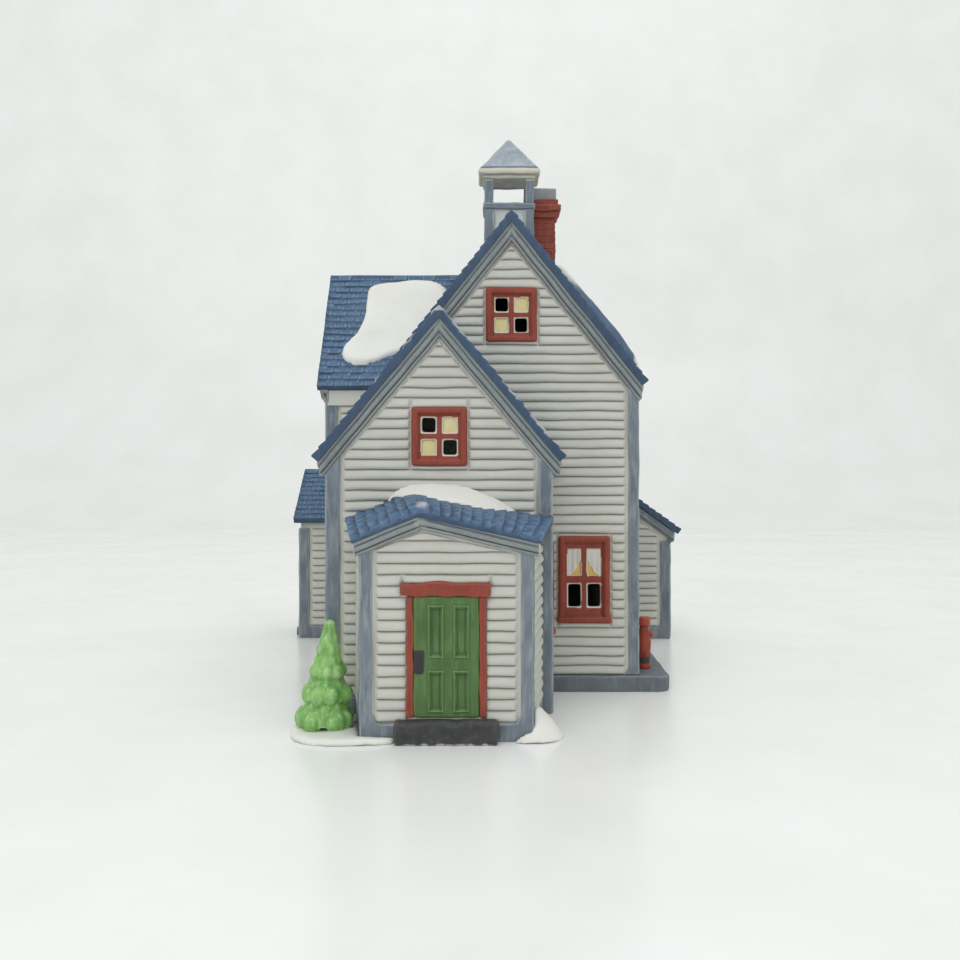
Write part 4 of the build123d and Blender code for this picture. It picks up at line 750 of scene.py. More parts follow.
@dataclass(frozen=True)
class Face:
    """One boarded face of a wall, seen from outside from left to right, in millimetres.

    The outline is convex, of places along the face and heights. Round holes are (along, height, radius).
    A frame belongs to the face if it starts nearer than the first of two distances and ends between them.
    """

    start: Pair
    end: Pair
    outline: tuple[Pair, ...]
    round_holes: tuple[Point, ...] = ()
    frame_mm: Pair = (0.3, 4.0)

    @property
    def length(self) -> float:
        """Length in plan."""
        return hypot(self.end[0] - self.start[0], self.end[1] - self.start[1])

    @property
    def along(self) -> Vector:
        """Unit vector from left to right."""
        return Vector((self.end[0] - self.start[0], self.end[1] - self.start[1], 0.0)).normalized()

    @property
    def out(self) -> Vector:
        """Unit vector away from the wall."""
        return Vector((self.along.y, -self.along.x, 0.0))

    def point(self, along: float, height: float, out: float) -> Vector:
        """Row point in metres."""
        spot = Vector((*self.start, height)) + self.along * along + self.out * out
        return spot * MM

    def placed(self, point: Vector) -> Pair:
        """Place along the face and distance out of it of a row point, in millimetres."""
        spot = point / MM - Vector((*self.start, 0.0))
        return spot.dot(self.along), spot.dot(self.out)

    def span(self, height: float) -> Optional[Pair]:
        """Finds where the outline begins and ends at a height.

        Args:
            height: The height.

        Returns:
            Both places along the face, or nothing where it isn't as tall.
        """
        hits = []
        for (p, z), (q, w) in zip(self.outline, self.outline[1:] + self.outline[:1]):
            if min(z, w) <= height <= max(z, w) and z != w:
                hits.append(p + (q - p) * (height - z) / (w - z))
        return (min(hits), max(hits)) if len(hits) > 1 else None

    def holes(self, nodes: Iterable[str], inset: float) -> list[tuple[float, float, float, float]]:
        """Finds the rectangles that frames in the wall take up.

        Args:
            nodes: Frames of the whole house.
            inset: How far each rectangle is drawn in.

        Returns:
            Left, right, bottom and top of each.
        """
        near, far = self.frame_mm
        found = []
        for node in nodes:
            low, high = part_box(node)
            spots = [self.placed(Vector((x, y, 0.0))) for x in (low.x, high.x) for y in (low.y, high.y)]
            places, outs = [s[0] for s in spots], [s[1] for s in spots]
            middle = sum(places) / len(places)
            if min(outs) < near < max(outs) < far and 0 < middle < self.length:
                found.append(
                    (min(places) + inset, max(places) - inset, low.z / MM + inset, high.z / MM - inset)
                )
        return found


@dataclass(frozen=True)
class Stop:
    """End of a board: a place along the face, or nothing at the outline, and whether a frame hides it."""

    place: Optional[float]
    framed: bool = False


@dataclass
class Siding:
    """Clapboards of one wall node: soft pillows with rounded ends on a plain wall.

    The profile is a row of shares of the pitch, shares of the butt's thickness, and how convex it counts,
    which lays painted shade in the groove under each butt.
    """

    node: str
    faces: Sequence[Face]
    frames: Sequence[str]
    pitch_mm: float = 3.1
    first_mm: float = 5.3
    step_mm: float = 2.2
    fade_mm: float = 1.15
    framed_fade_mm: float = 0.8
    short_mm: float = 0.35
    shortest_mm: float = 1.8
    fade_share: float = 0.34
    butt_mm: float = 0.92
    root_mm: float = -0.2
    frame_lap_mm: float = 0.35
    sway_mm: float = 0.24
    wave_long_mm: float = 9.0
    wave_tall_mm: float = 3.5
    uneven: float = 0.22
    bed_mm: float = 0.01
    pressed_mm: float = 0.8
    end_slack_mm: float = 0.1
    least_mm: float = 0.3
    fewest_rows: int = 3
    short_waves: Pair = (1.7, 5.0)
    sharp_deg: float = 60.0
    end_shares: tuple[float, ...] = (0.0, 0.14, 0.3, 0.5, 0.72)
    profile: tuple[Point, ...] = (
        (0.0, 0.0, -0.75), (0.04, 0.24, -0.5), (0.11, 0.62, -0.2), (0.2, 0.88, 0.08),
        (0.33, 1.0, 0.2), (0.52, 0.93, 0.1), (0.7, 0.72, 0.0), (0.86, 0.44, -0.1),
        (0.95, 0.18, -0.35), (1.0, 0.0, -0.75),
    )

    def build(self) -> None:
        """Makes the wall and its boards in one piece."""
        bm = self._plain_wall()
        felt(bm)
        for face in self.faces:
            self._board_face(bm, face)
        mesh = mesh_of(bm, self.node, self.sharp_deg)
        put(self.node + "_clapboards", mesh, [SIDING], "house", [self.node])

    def _plain_wall(self) -> BMesh:
        """Copies the CAD wall with its boards pressed flat."""
        bm = welded(self.node)
        slack = self.end_slack_mm
        for vert in bm.verts:
            for face in self.faces:
                along, out = face.placed(vert.co)
                if self.bed_mm < out < self.pressed_mm and -slack < along < face.length + slack:
                    vert.co -= face.out * out * MM
        bmesh.ops.dissolve_degenerate(bm, dist=WELD_MM * MM, edges=bm.edges)
        bmesh.ops.remove_doubles(bm, verts=bm.verts, dist=WELD_MM * MM)
        bmesh.ops.recalc_face_normals(bm, faces=bm.faces)
        return bm

    def _board_face(self, bm: BMesh, face: Face) -> None:
        """Lays every board of one face, split round the frames in it.

        Args:
            bm: Bmesh that gets the boards.
            face: The face.
        """
        holes = face.holes(self.frames, self.frame_lap_mm)
        low = self.first_mm
        while low < max(z for _, z in face.outline):
            blocked = [h for h in holes if h[2] < low + self.pitch_mm and h[3] > low]
            gaps = [(left, right, True) for left, right, _, _ in blocked] + self._round_gaps(face, low)
            cuts = [(Stop(None), Stop(None))]
            for left, right, framed in sorted(gaps):
                start = cuts.pop()[0]
                cuts += [(start, Stop(left, framed)), (Stop(right, framed), Stop(None))]
            for start, end in cuts:
                self._board(bm, face, low, 0.0, 1.0, start, end)
            for left, right, bottom, top in blocked:
                ends = (Stop(left, True), Stop(right, True))
                if top < low + self.pitch_mm - self.least_mm:
                    self._board(bm, face, low, (top - low) / self.pitch_mm, 1.0, *ends)
                if bottom > low + self.least_mm:
                    self._board(bm, face, low, 0.0, (bottom - low) / self.pitch_mm, *ends)
            low += self.pitch_mm

    def _round_gaps(self, face: Face, low: float) -> list[tuple[float, float, bool]]:
        """Finds the gaps that round holes leave in one board.

        Args:
            face: The face.
            low: Height of the board's lower edge.

        Returns:
            Both ends of each gap, and that no frame hides them.
        """
        gaps = []
        for along, height, radius in face.round_holes:
            rise = low + self.pitch_mm / 2 - height
            if abs(rise) < radius:
                half = (radius ** 2 - rise ** 2) ** 0.5
                gaps.append((along - half, along + half, False))
        return gaps

    def _board(self, bm: BMesh, face: Face, low: float, first: float, last: float,
               start: Stop, end: Stop) -> None:
        """Lays one board.

        Args:
            bm: Bmesh that gets the board.
            face: Face of the wall.
            low: Height of the board's lower edge.
            first: Share of the pitch at which it starts, where a frame covers the rest.
            last: Share of the pitch at which it ends.
            start: What ends it at the left.
            end: What ends it at the right.
        """
        rows = [row for row in self.profile if first <= row[0] <= last]
        spans = [self._row_span(face, low + share * self.pitch_mm, start, end) for share, _, _ in rows]
        kept = [
            (row, span) for row, span in zip(rows, spans) if span and span[1] - span[0] > self.shortest_mm
        ]
        if len(kept) < self.fewest_rows:
            return
        curve = bm.verts.layers.float[CURVE]
        count = max(2, round((kept[0][1][1] - kept[0][1][0]) / self.step_mm))
        trims = [0.0 if stop.framed else self._short(face, low, i) for i, stop in enumerate((start, end))]
        grid = []
        for (share, out, shade_and_rub), (left, right) in kept:
            left, right = left + trims[0], right - trims[1]
            longest = self.fade_share * (right - left)
            fades = [min(longest, self.framed_fade_mm if s.framed else self.fade_mm) for s in (start, end)]
            inner = (right - left) - sum(fades)
            places = [left + fades[0] * d for d in self.end_shares]
            places += [left + fades[0] + inner * i / count for i in range(count + 1)]
            places += [right - fades[1] * d for d in reversed(self.end_shares)]
            line = []
            for place in places:
                swell = eased(min((place - left) / fades[0], (right - place) / fades[1]))
                height = low + share * self.pitch_mm
                wave = noise.noise_vector(
                    Vector((place / self.wave_long_mm, height / self.wave_tall_mm, sum(face.start)))
                )
                proud = self.butt_mm * out * swell * (1 + self.uneven * wave.y) + self.bed_mm
                vert = bm.verts.new(face.point(place, height + self.sway_mm * wave.x, proud))
                # How convex the point counts: negative in the grooves, where it lays painted shade.
                vert[curve] = shade_and_rub * swell
                line.append(vert)
            grid.append(line)
        self._close(bm, face, grid)

    def _short(self, face: Face, low: float, end: int) -> float:
        """How much earlier than its neighbours a board ends."""
        spot = Vector((low * self.short_waves[0], sum(face.start), end * self.short_waves[1]))
        return self.short_mm * (0.5 + 0.5 * noise.noise(spot))

    @staticmethod
    def _row_span(face: Face, height: float, start: Stop, end: Stop) -> Optional[Pair]:
        """Finds where one row of a board begins and ends.

        Args:
            face: The face.
            height: Height of the row.
            start: What ends the board at the left.
            end: What ends it at the right.

        Returns:
            Both places along the face, or nothing above the outline.
        """
        span = face.span(height)
        if not span:
            return None
        left = span[0] if start.place is None else max(start.place, span[0])
        right = span[1] if end.place is None else min(end.place, span[1])
        return left, right

    def _close(self, bm: BMesh, face: Face, grid: list[list[BMVert]]) -> None:
        """Adds the faces of a board: its front, its edges down into the wall, and its back.

        Args:
            bm: Bmesh that gets them.
            face: Face of the wall.
            grid: Points of the front, row by row.
        """
        for lower, upper in zip(grid, grid[1:]):
            for i in range(len(lower) - 1):
                bm.faces.new((lower[i], lower[i + 1], upper[i + 1], upper[i]))
        loop = grid[0][:-1] + [line[-1] for line in grid[:-1]] + grid[-1][:0:-1]
        loop += [line[0] for line in reversed(grid[1:])]
        curve = bm.verts.layers.float[CURVE]
        back = []
        for vert in loop:
            _, out = face.placed(vert.co)
            copy = bm.verts.new(vert.co + face.out * (self.root_mm - out) * MM)
            copy[curve] = vert[curve]
            back.append(copy)
        for i in range(len(loop)):
            j = (i + 1) % len(loop)
            bm.faces.new((loop[j], loop[i], back[i], back[j]))
        bm.faces.new(list(reversed(back)))


@dataclass
class Walls:
    """All boarded walls, from the same heights and slopes as the roofs over them.

    Boards keep an inset from corner boards, a smaller one from the slim boards at the front, and the least
    where a wall meets another wall. Tops are the heights at which boards end under a roof.
    """

    roofs: "Roofs"
    inset: float = 4.15
    slim_inset: float = 3.15
    butt_inset: float = 0.8
    skirt: float = 5.3
    rake_mm: float = 6.4
    corner_mm: float = 5.9
    eave_out: float = 0.95
    main_x: Pair = (-33.6, 48.6)
    light_hole: Pair = (36.0, 16.6)
    wing_x: Pair = (-48.6, 18.4)
    left_y: Pair = (1.6, 69.6)
    porch_x: Pair = (-34.95, 10.95)
    porch_back_x: Pair = (-39.6, 15.6)
    porch_ridge: float = 15.95
    porch_tops: Point = (52.6, 57.5, 51.3)
    porch_side_top: float = 51.0
    porch_back_inset: float = 1.0
    lean_x: float = -77.4
    lean_y: Pair = (62.2, 86.1)
    lean_front_top: float = 45.9
    lean_side_tops: Pair = (60.4, 51.0)
    lean_back_top: float = 62.4
    right_x: float = 75.5
    right_y: float = 60.6
    right_tops: Pair = (59.2, 43.4)
    right_side_top: float = 40.7

    def build(self) -> None:
        """Makes every wall."""
        frames = WINDOWS + ("front_door_frame", "front_door_lintel", "side_door")
        for node, faces in self._faces().items():
            Siding(node, faces, frames).build()

    def gabled(self, gable: "Gable", start: Pair, end: Pair, half: float,
               round_holes: tuple[Point, ...] = (), inset: Optional[float] = None) -> Face:
        """Gable end whose boards run up to the rake boards and the corner boards.

        Args:
            gable: Roof over it.
            start: Left corner in plan, seen from outside.
            end: Right corner in plan.
            half: Half its width.
            round_holes: Round holes in it.
            inset: How far boards keep off its ends, if not as usual.

        Returns:
            The face.
        """
        inset = self.inset if inset is None else inset
        pitch = (gable.ridge - gable.eave) / gable.reach
        drop = self.rake_mm * hypot(1.0, pitch)
        side = gable.ridge - pitch * (half - inset) - drop
        outline = (
            (inset, self.skirt),
            (2 * half - inset, self.skirt),
            (2 * half - inset, side),
            (half, gable.ridge - drop),
            (inset, side),
        )
        return Face(start, end, outline, round_holes)

    def plain(self, start: Pair, end: Pair, left: float, right: float,
              top_left: float, top_right: Optional[float] = None) -> Face:
        """Face with a straight top.

        Args:
            start: Left corner in plan, seen from outside.
            end: Right corner in plan.
            left: How far boards keep off its left end.
            right: How far boards keep off its right end.
            top_left: Height of the boards' top at the left.
            top_right: Height at the right, if it differs.

        Returns:
            The face.
        """
        length = hypot(end[0] - start[0], end[1] - start[1])
        top_right = top_left if top_right is None else top_right
        outline = (
            (left, self.skirt),
            (length - right, self.skirt),
            (length - right, top_right),
            (left, top_left),
        )
        return Face(start, end, outline)

    def eave_top(self, gable: "Gable", half: float) -> float:
        """Height of the boards under an eave."""
        pitch = (gable.ridge - gable.eave) / gable.reach
        return gable.ridge - pitch * (half + self.eave_out) - self.corner_mm * hypot(1.0, pitch)

    def _faces(self) -> dict[str, list[Face]]:
        """Faces of every wall node."""
        roofs, i, slim, butt = self.roofs, self.inset, self.slim_inset, self.butt_inset
        (x0, x1), y0, y1 = self.main_x, roofs.main_front, roofs.main_back
        (wing_x0, wing_x1), wing_y = self.wing_x, roofs.wing_front
        left_x, (left_y0, left_y1) = roofs.left_front, self.left_y
        lean_x, (lean_y0, lean_y1) = self.lean_x, self.lean_y
        right_x, right_y, (right_high, right_low) = self.right_x, self.right_y, self.right_tops
        main_half, wing_half, left_half = ((b - a) / 2 for a, b in (self.main_x, self.wing_x, self.left_y))
        main_top = self.eave_top(roofs.main, main_half)
        wing_top = self.eave_top(roofs.wing, wing_half)
        left_top = self.eave_top(roofs.left, left_half)
        hole = (main_half, *self.light_hole)
        porch_left, porch_right = ((x, roofs.vestibule_wall) for x in self.porch_x)
        back_left, back_right = ((x, wing_y) for x in self.porch_back_x)
        porch_end = self.porch_x[1] - self.porch_x[0] - slim
        porch_top = tuple(zip((slim, self.porch_ridge, porch_end), self.porch_tops))
        porch_outline = ((slim, self.skirt), (porch_end, self.skirt)) + porch_top[::-1]
        side_top, back_inset = self.porch_side_top, self.porch_back_inset
        return {
            "main_walls": [
                self.gabled(roofs.main, (x0, y0), (x1, y0), main_half, (), slim),
                self.gabled(roofs.main, (x1, y1), (x0, y1), main_half, (hole,), slim),
                self.plain((x1, y0), (x1, y1), i, i, main_top),
                self.plain((x0, y1), (x0, y0), i, i, main_top),
            ],
            "front_wing_walls": [
                self.gabled(roofs.wing, (wing_x0, wing_y), (wing_x1, wing_y), wing_half),
                self.plain((wing_x1, wing_y), (wing_x1, y0), i, butt, wing_top),
                self.plain((wing_x0, y0), (wing_x0, wing_y), i, i, wing_top),
            ],
            "vestibule_walls": [
                Face(porch_left, porch_right, porch_outline),
                self.plain(back_left, porch_left, back_inset, i, side_top),
                self.plain(porch_right, back_right, i, back_inset, side_top),
            ],
            "left_wing_walls": [
                self.plain((left_x, left_y0), (x0, left_y0), i, butt, left_top),
                self.gabled(roofs.left, (left_x, left_y1), (left_x, left_y0), left_half),
                self.plain((x0, left_y1), (left_x, left_y1), butt, i, left_top),
            ],
            "left_lean_to_walls": [
                self.plain((lean_x, lean_y0), (left_x, lean_y0), i, butt, self.lean_front_top),
                self.plain((lean_x, lean_y1), (lean_x, lean_y0), i, i, *self.lean_side_tops),
                self.plain((x0, lean_y1), (lean_x, lean_y1), i, i, self.lean_back_top),
            ],
            "right_lean_to_walls": [
                self.plain((x1, right_y), (right_x, right_y), butt, i, right_high, right_low),
                self.plain((right_x, right_y), (right_x, lean_y1), i, i, self.right_side_top),
                self.plain((right_x, lean_y1), (x1, lean_y1), i, butt, right_low, right_high),
            ],
        }


@dataclass(frozen=True)
class Cell:
    """A rectangle on a plate: middle, half width and half height in millimetres."""

    u: float
    v: float
    half_u: float
    half_v: float

    def inside(self, u: float, v: float) -> float:
        """Distance inside the edge, negative outside."""
        return min(self.half_u - abs(u - self.u), self.half_v - abs(v - self.v))

    def outside(self, u: float, v: float) -> float:
        """Distance to the edge from outside."""
        return hypot(max(0.0, abs(u - self.u) - self.half_u), max(0.0, abs(v - self.v) - self.half_v))


@dataclass
class Relief:
    """A plate modelled in relief on a wall, with rounded corners and rounded openings.

    Places are measured from the plate's middle on the wall: across, up and out.
    """

    middle: Vector
    across: Vector
    out: Vector
    plate: Cell
    height: Callable[[float, float], float]
    lines: Sequence[Cell] = ()
    holes: Sequence[Cell] = ()
    corner_mm: float = 0.9
    hole_corner_mm: float = 0.8
    step_mm: float = 0.55
    back_mm: float = -0.3
    near_mm: tuple[float, ...] = (0.0, 0.16, 0.4, 0.8)
    sway_mm: float = 0.14
    sway_wave_mm: float = 6.0
    foot_mm: float = 0.0
    foot_tall_mm: float = 4.0
    edge_mm: float = 0.05
    closest_mm: float = 0.07
    rim_mm: float = 1e-4

    def build(self) -> BMesh:
        """Returns the closed plate."""
        us, vs = self._marks(0), self._marks(1)
        bm = bmesh.new()
        made: dict[tuple[int, int, bool], BMVert] = {}

        def vert(i: int, j: int, front: bool) -> BMVert:
            """Point of the grid, made once."""
            if (i, j, front) not in made:
                out = self.height(us[i], vs[j]) if front else self.back_mm
                made[i, j, front] = bm.verts.new(self._row(*self._eased(us[i], vs[j]), out))
            return made[i, j, front]

        solid = {
            (i, j) for i in range(len(us) - 1) for j in range(len(vs) - 1)
            if all(hole.inside((us[i] + us[i + 1]) / 2, (vs[j] + vs[j + 1]) / 2) < 0 for hole in self.holes)
        }
        for i, j in sorted(solid):
            ring = ((i, j), (i + 1, j), (i + 1, j + 1), (i, j + 1))
            bm.faces.new([vert(*spot, True) for spot in ring])
            bm.faces.new([vert(*spot, False) for spot in reversed(ring)])
            sides = ((i, j - 1), (i + 1, j), (i, j + 1), (i - 1, j))
            for k, side in enumerate(sides):
                if side not in solid:
                    a, b = ring[k], ring[(k + 1) % 4]
                    bm.faces.new((vert(*b, True), vert(*a, True), vert(*a, False), vert(*b, False)))
        bmesh.ops.recalc_face_normals(bm, faces=bm.faces)
        return bm

    def _row(self, u: float, v: float, out: float) -> Vector:
        """Row point of a place on the plate, moved about a little as hand work is."""
        point = self.middle + (self.across * u + Vector((0, 0, v)) + self.out * out) * MM
        return point + noise.noise_vector(point / (self.sway_wave_mm * MM)) * self.sway_mm * MM

    def _marks(self, axis: int) -> list[float]:
        """Places grid lines along one way: at every edge, close beside it, and evenly between.

        Args:
            axis: 0 for across, 1 for up.

        Returns:
            Their places, rising.
        """
        marks = set()
        for cell in (self.plate, *self.lines, *self.holes):
            middle, half = (cell.u, cell.half_u) if axis == 0 else (cell.v, cell.half_v)
            for side in (-1, 1):
                for near in self.near_mm:
                    marks |= {middle + side * (half - near), middle + side * (half + near)}
        middle, half = (self.plate.u, self.plate.half_u) if axis == 0 else (self.plate.v, self.plate.half_v)
        kept = [middle - half]
        for mark in sorted(m for m in marks if abs(m - middle) < half - self.edge_mm) + [middle + half]:
            gap = mark - kept[-1]
            if gap < self.closest_mm:
                continue
            parts = max(1, round(gap / self.step_mm))
            kept += [kept[-1] + gap * (i + 1) / parts for i in range(parts)]
        return kept

    def _eased(self, u: float, v: float) -> Pair:
        """Moves a grid point as the corners are rounded.

        Args:
            u: Place across.
            v: Place up.

        Returns:
            The new place.
        """
        u, v = self._turned(u, v, self.plate, self.corner_mm, False)
        for hole in self.holes:
            u, v = self._turned(u, v, hole, self.hole_corner_mm, True)
        spread = self.foot_mm * eased(1 - (v + self.plate.half_v) / self.foot_tall_mm)
        return u * (1 + spread / self.plate.half_u), v

    def _turned(self, u: float, v: float, cell: Cell, radius: float, edge_only: bool) -> Pair:
        """Rounds one rectangle's corners: a square at each corner is drawn in to a quarter disc.

        Args:
            u: Place across.
            v: Place up.
            cell: The rectangle.
            radius: Radius of its corners.
            edge_only: Whether points outside the rectangle stay.

        Returns:
            The new place.
        """
        du = abs(u - cell.u) - (cell.half_u - radius)
        dv = abs(v - cell.v) - (cell.half_v - radius)
        if du <= 0 or dv <= 0 or (edge_only and max(du, dv) > radius + self.rim_mm):
            return u, v
        share = max(du, dv) / hypot(du, dv)
        side_u, side_v = (1 if u > cell.u else -1), (1 if v > cell.v else -1)
        return (
            cell.u + side_u * (cell.half_u - radius + du * share),
            cell.v + side_v * (cell.half_v - radius + dv * share),
        )


@dataclass
class Windows:
    """Red frames: a round-shouldered border that slopes in to four small panes edged with bare clay."""

    nodes: Sequence[str]
    horn_mm: float = 0.7
    sill_proud_mm: float = 2.2
    border_mm: float = 1.5
    border_proud_mm: float = 1.75
    shoulder_mm: float = 0.7
    shoulder_low_mm: float = 0.7
    slope_mm: float = 1.2
    field_mm: float = 0.8
    lip_mm: float = 0.5
    lip_low_mm: float = 0.4
    bare_mm: float = 0.32
    pane_width: float = 4.1
    pane_across: float = 3.2
    tall_from: float = 20.0
    sill_flare_mm: float = 0.6
    sill_mm: float = 2.4
    sharp_deg: float = 70.0
    low_rows: tuple[Pair, ...] = ((3.35, 4.4), (-3.35, 4.4))
    tall_rows: tuple[Pair, ...] = ((5.6, 8.3), (-5.2, 7.5))

    def build(self) -> None:
        """Makes every frame."""
        for node in self.nodes:
            self._frame(node)

    def _frame(self, node: str) -> None:
        """Makes one frame.

        Args:
            node: Name of the CAD node.
        """
        low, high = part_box(node)
        middle = (low + high) / 2
        thin = Way.X.value if high.x - low.x < high.y - low.y else Way.Y.value
        side = 1.0 if middle[thin] > 0 else -1.0
        out = Vector((0, 0, 0))
        out[thin] = side
        middle[thin] = (high if side > 0 else low)[thin] - side * self.sill_proud_mm * MM
        across = Vector((0, 0, 1)).cross(out)
        wide = (high - low)[Way.Y.value if thin == Way.X.value else Way.X.value] / MM - 2 * self.horn_mm
        tall = (high.z - low.z) / MM
        plate = Cell(0.0, 0.0, wide / 2, tall / 2)
        rows = self.tall_rows if tall > self.tall_from else self.low_rows
        holes = [
            Cell(u, v, self.pane_width / 2, pane / 2)
            for v, pane in rows for u in (-self.pane_across, self.pane_across)
        ]
        border = Cell(0.0, 0.0, plate.half_u - self.border_mm, plate.half_v - self.border_mm)
        sill = self.sill_proud_mm - self.border_proud_mm if tall > self.tall_from else 0.0

        def height(u: float, v: float) -> float:
            """Relief of the frame."""
            edge = max(0.0, plate.inside(u, v))
            turn = 1 - min(1.0, edge / self.shoulder_mm)
            level = self.border_proud_mm - self.shoulder_low_mm * turn ** 2
            level += (self.field_mm - self.border_proud_mm) * eased((edge - self.border_mm) / self.slope_mm)
            level += sill * eased((self.sill_mm - v - plate.half_v) / self.shoulder_mm)
            lip = min(hole.outside(u, v) for hole in holes)
            return level - self.lip_low_mm * (1 - min(1.0, lip / self.lip_mm)) ** 2

        flare = self.sill_flare_mm if tall > self.tall_from else 0.0
        bm = Relief(middle, across, out, plate, height, [border], holes, foot_mm=flare).build()
        for face in bm.faces:
            spot = (face.calc_center_median() - middle) / MM
            u, v = spot.dot(across), spot.z
            face.material_index = int(min(hole.outside(u, v) for hole in holes) < self.bare_mm)
        put(node + "_frame", mesh_of(bm, node, self.sharp_deg), [RED, CREAM], "house", [node])


@dataclass
class Doors:
    """Green doors with sunk panels inside soft mouldings."""

    proud_mm: float = 1.0
    shoulder_mm: float = 0.5
    shoulder_low_mm: float = 0.4
    bead_mm: float = 1.0
    bead_rise_mm: float = 0.42
    sunk_mm: float = 0.5
    sunk_slope_mm: float = 0.75
    panel_half_width: float = 2.35
    panel_across: float = 3.5
    panel_shift: float = 0.6
    panels: tuple[Pair, ...] = ((7.2, 5.85), (23.5, 7.35))
    full_height: float = 33.1
    full_width: float = 18.0
    sway_mm: float = 0.1
    sharp_deg: float = 75.0

    def build(self) -> None:
        """Makes both doors."""
        for node in ("front_door", "side_door"):
            self._door(node)

    def _door(self, node: str) -> None:
        """Makes one door, its panels scaled to its size.

        Args:
            node: Name of the CAD node.
        """
        low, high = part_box(node)
        middle = (low + high) / 2
        thin, wide_axis = (Way.X.value, Way.Y.value)
        if high.x - low.x > high.y - low.y:
            thin, wide_axis = wide_axis, thin
        out = Vector((0, 0, 0))
        out[thin] = -1.0
        middle[thin] = low[thin] + self.proud_mm * MM
        wide, tall = (high[wide_axis] - low[wide_axis]) / MM, (high.z - low.z) / MM
        across, up = wide / self.full_width, tall / self.full_height
        plate = Cell(0.0, 0.0, wide / 2, tall / 2)
        cells = [
            Cell(
                (self.panel_shift + side * self.panel_across) * across,
                v * up - tall / 2,
                self.panel_half_width * across,
                half * up,
            )
            for v, half in self.panels for side in (-1, 1)
        ]

        def height(u: float, v: float) -> float:
            """Relief of the door."""
            turn = 1 - min(1.0, max(0.0, plate.inside(u, v)) / self.shoulder_mm)
            level = self.proud_mm - self.shoulder_low_mm * turn ** 2
            for cell in cells:
                inside = cell.inside(u, v)
                if inside > 0:
                    level += self.bead_rise_mm * sin(pi * min(1.0, inside / self.bead_mm))
                    level -= self.sunk_mm * eased((inside - self.bead_mm / 2) / self.sunk_slope_mm)
            return level

        back = self.proud_mm - (high[thin] - low[thin]) / MM
        across_way = Vector((0, 0, 1)).cross(out)
        relief = Relief(middle, across_way, out, plate, height, cells, back_mm=back, sway_mm=self.sway_mm)
        put(node + "_leaf", mesh_of(relief.build(), node, self.sharp_deg), [DOOR], "house", [node])


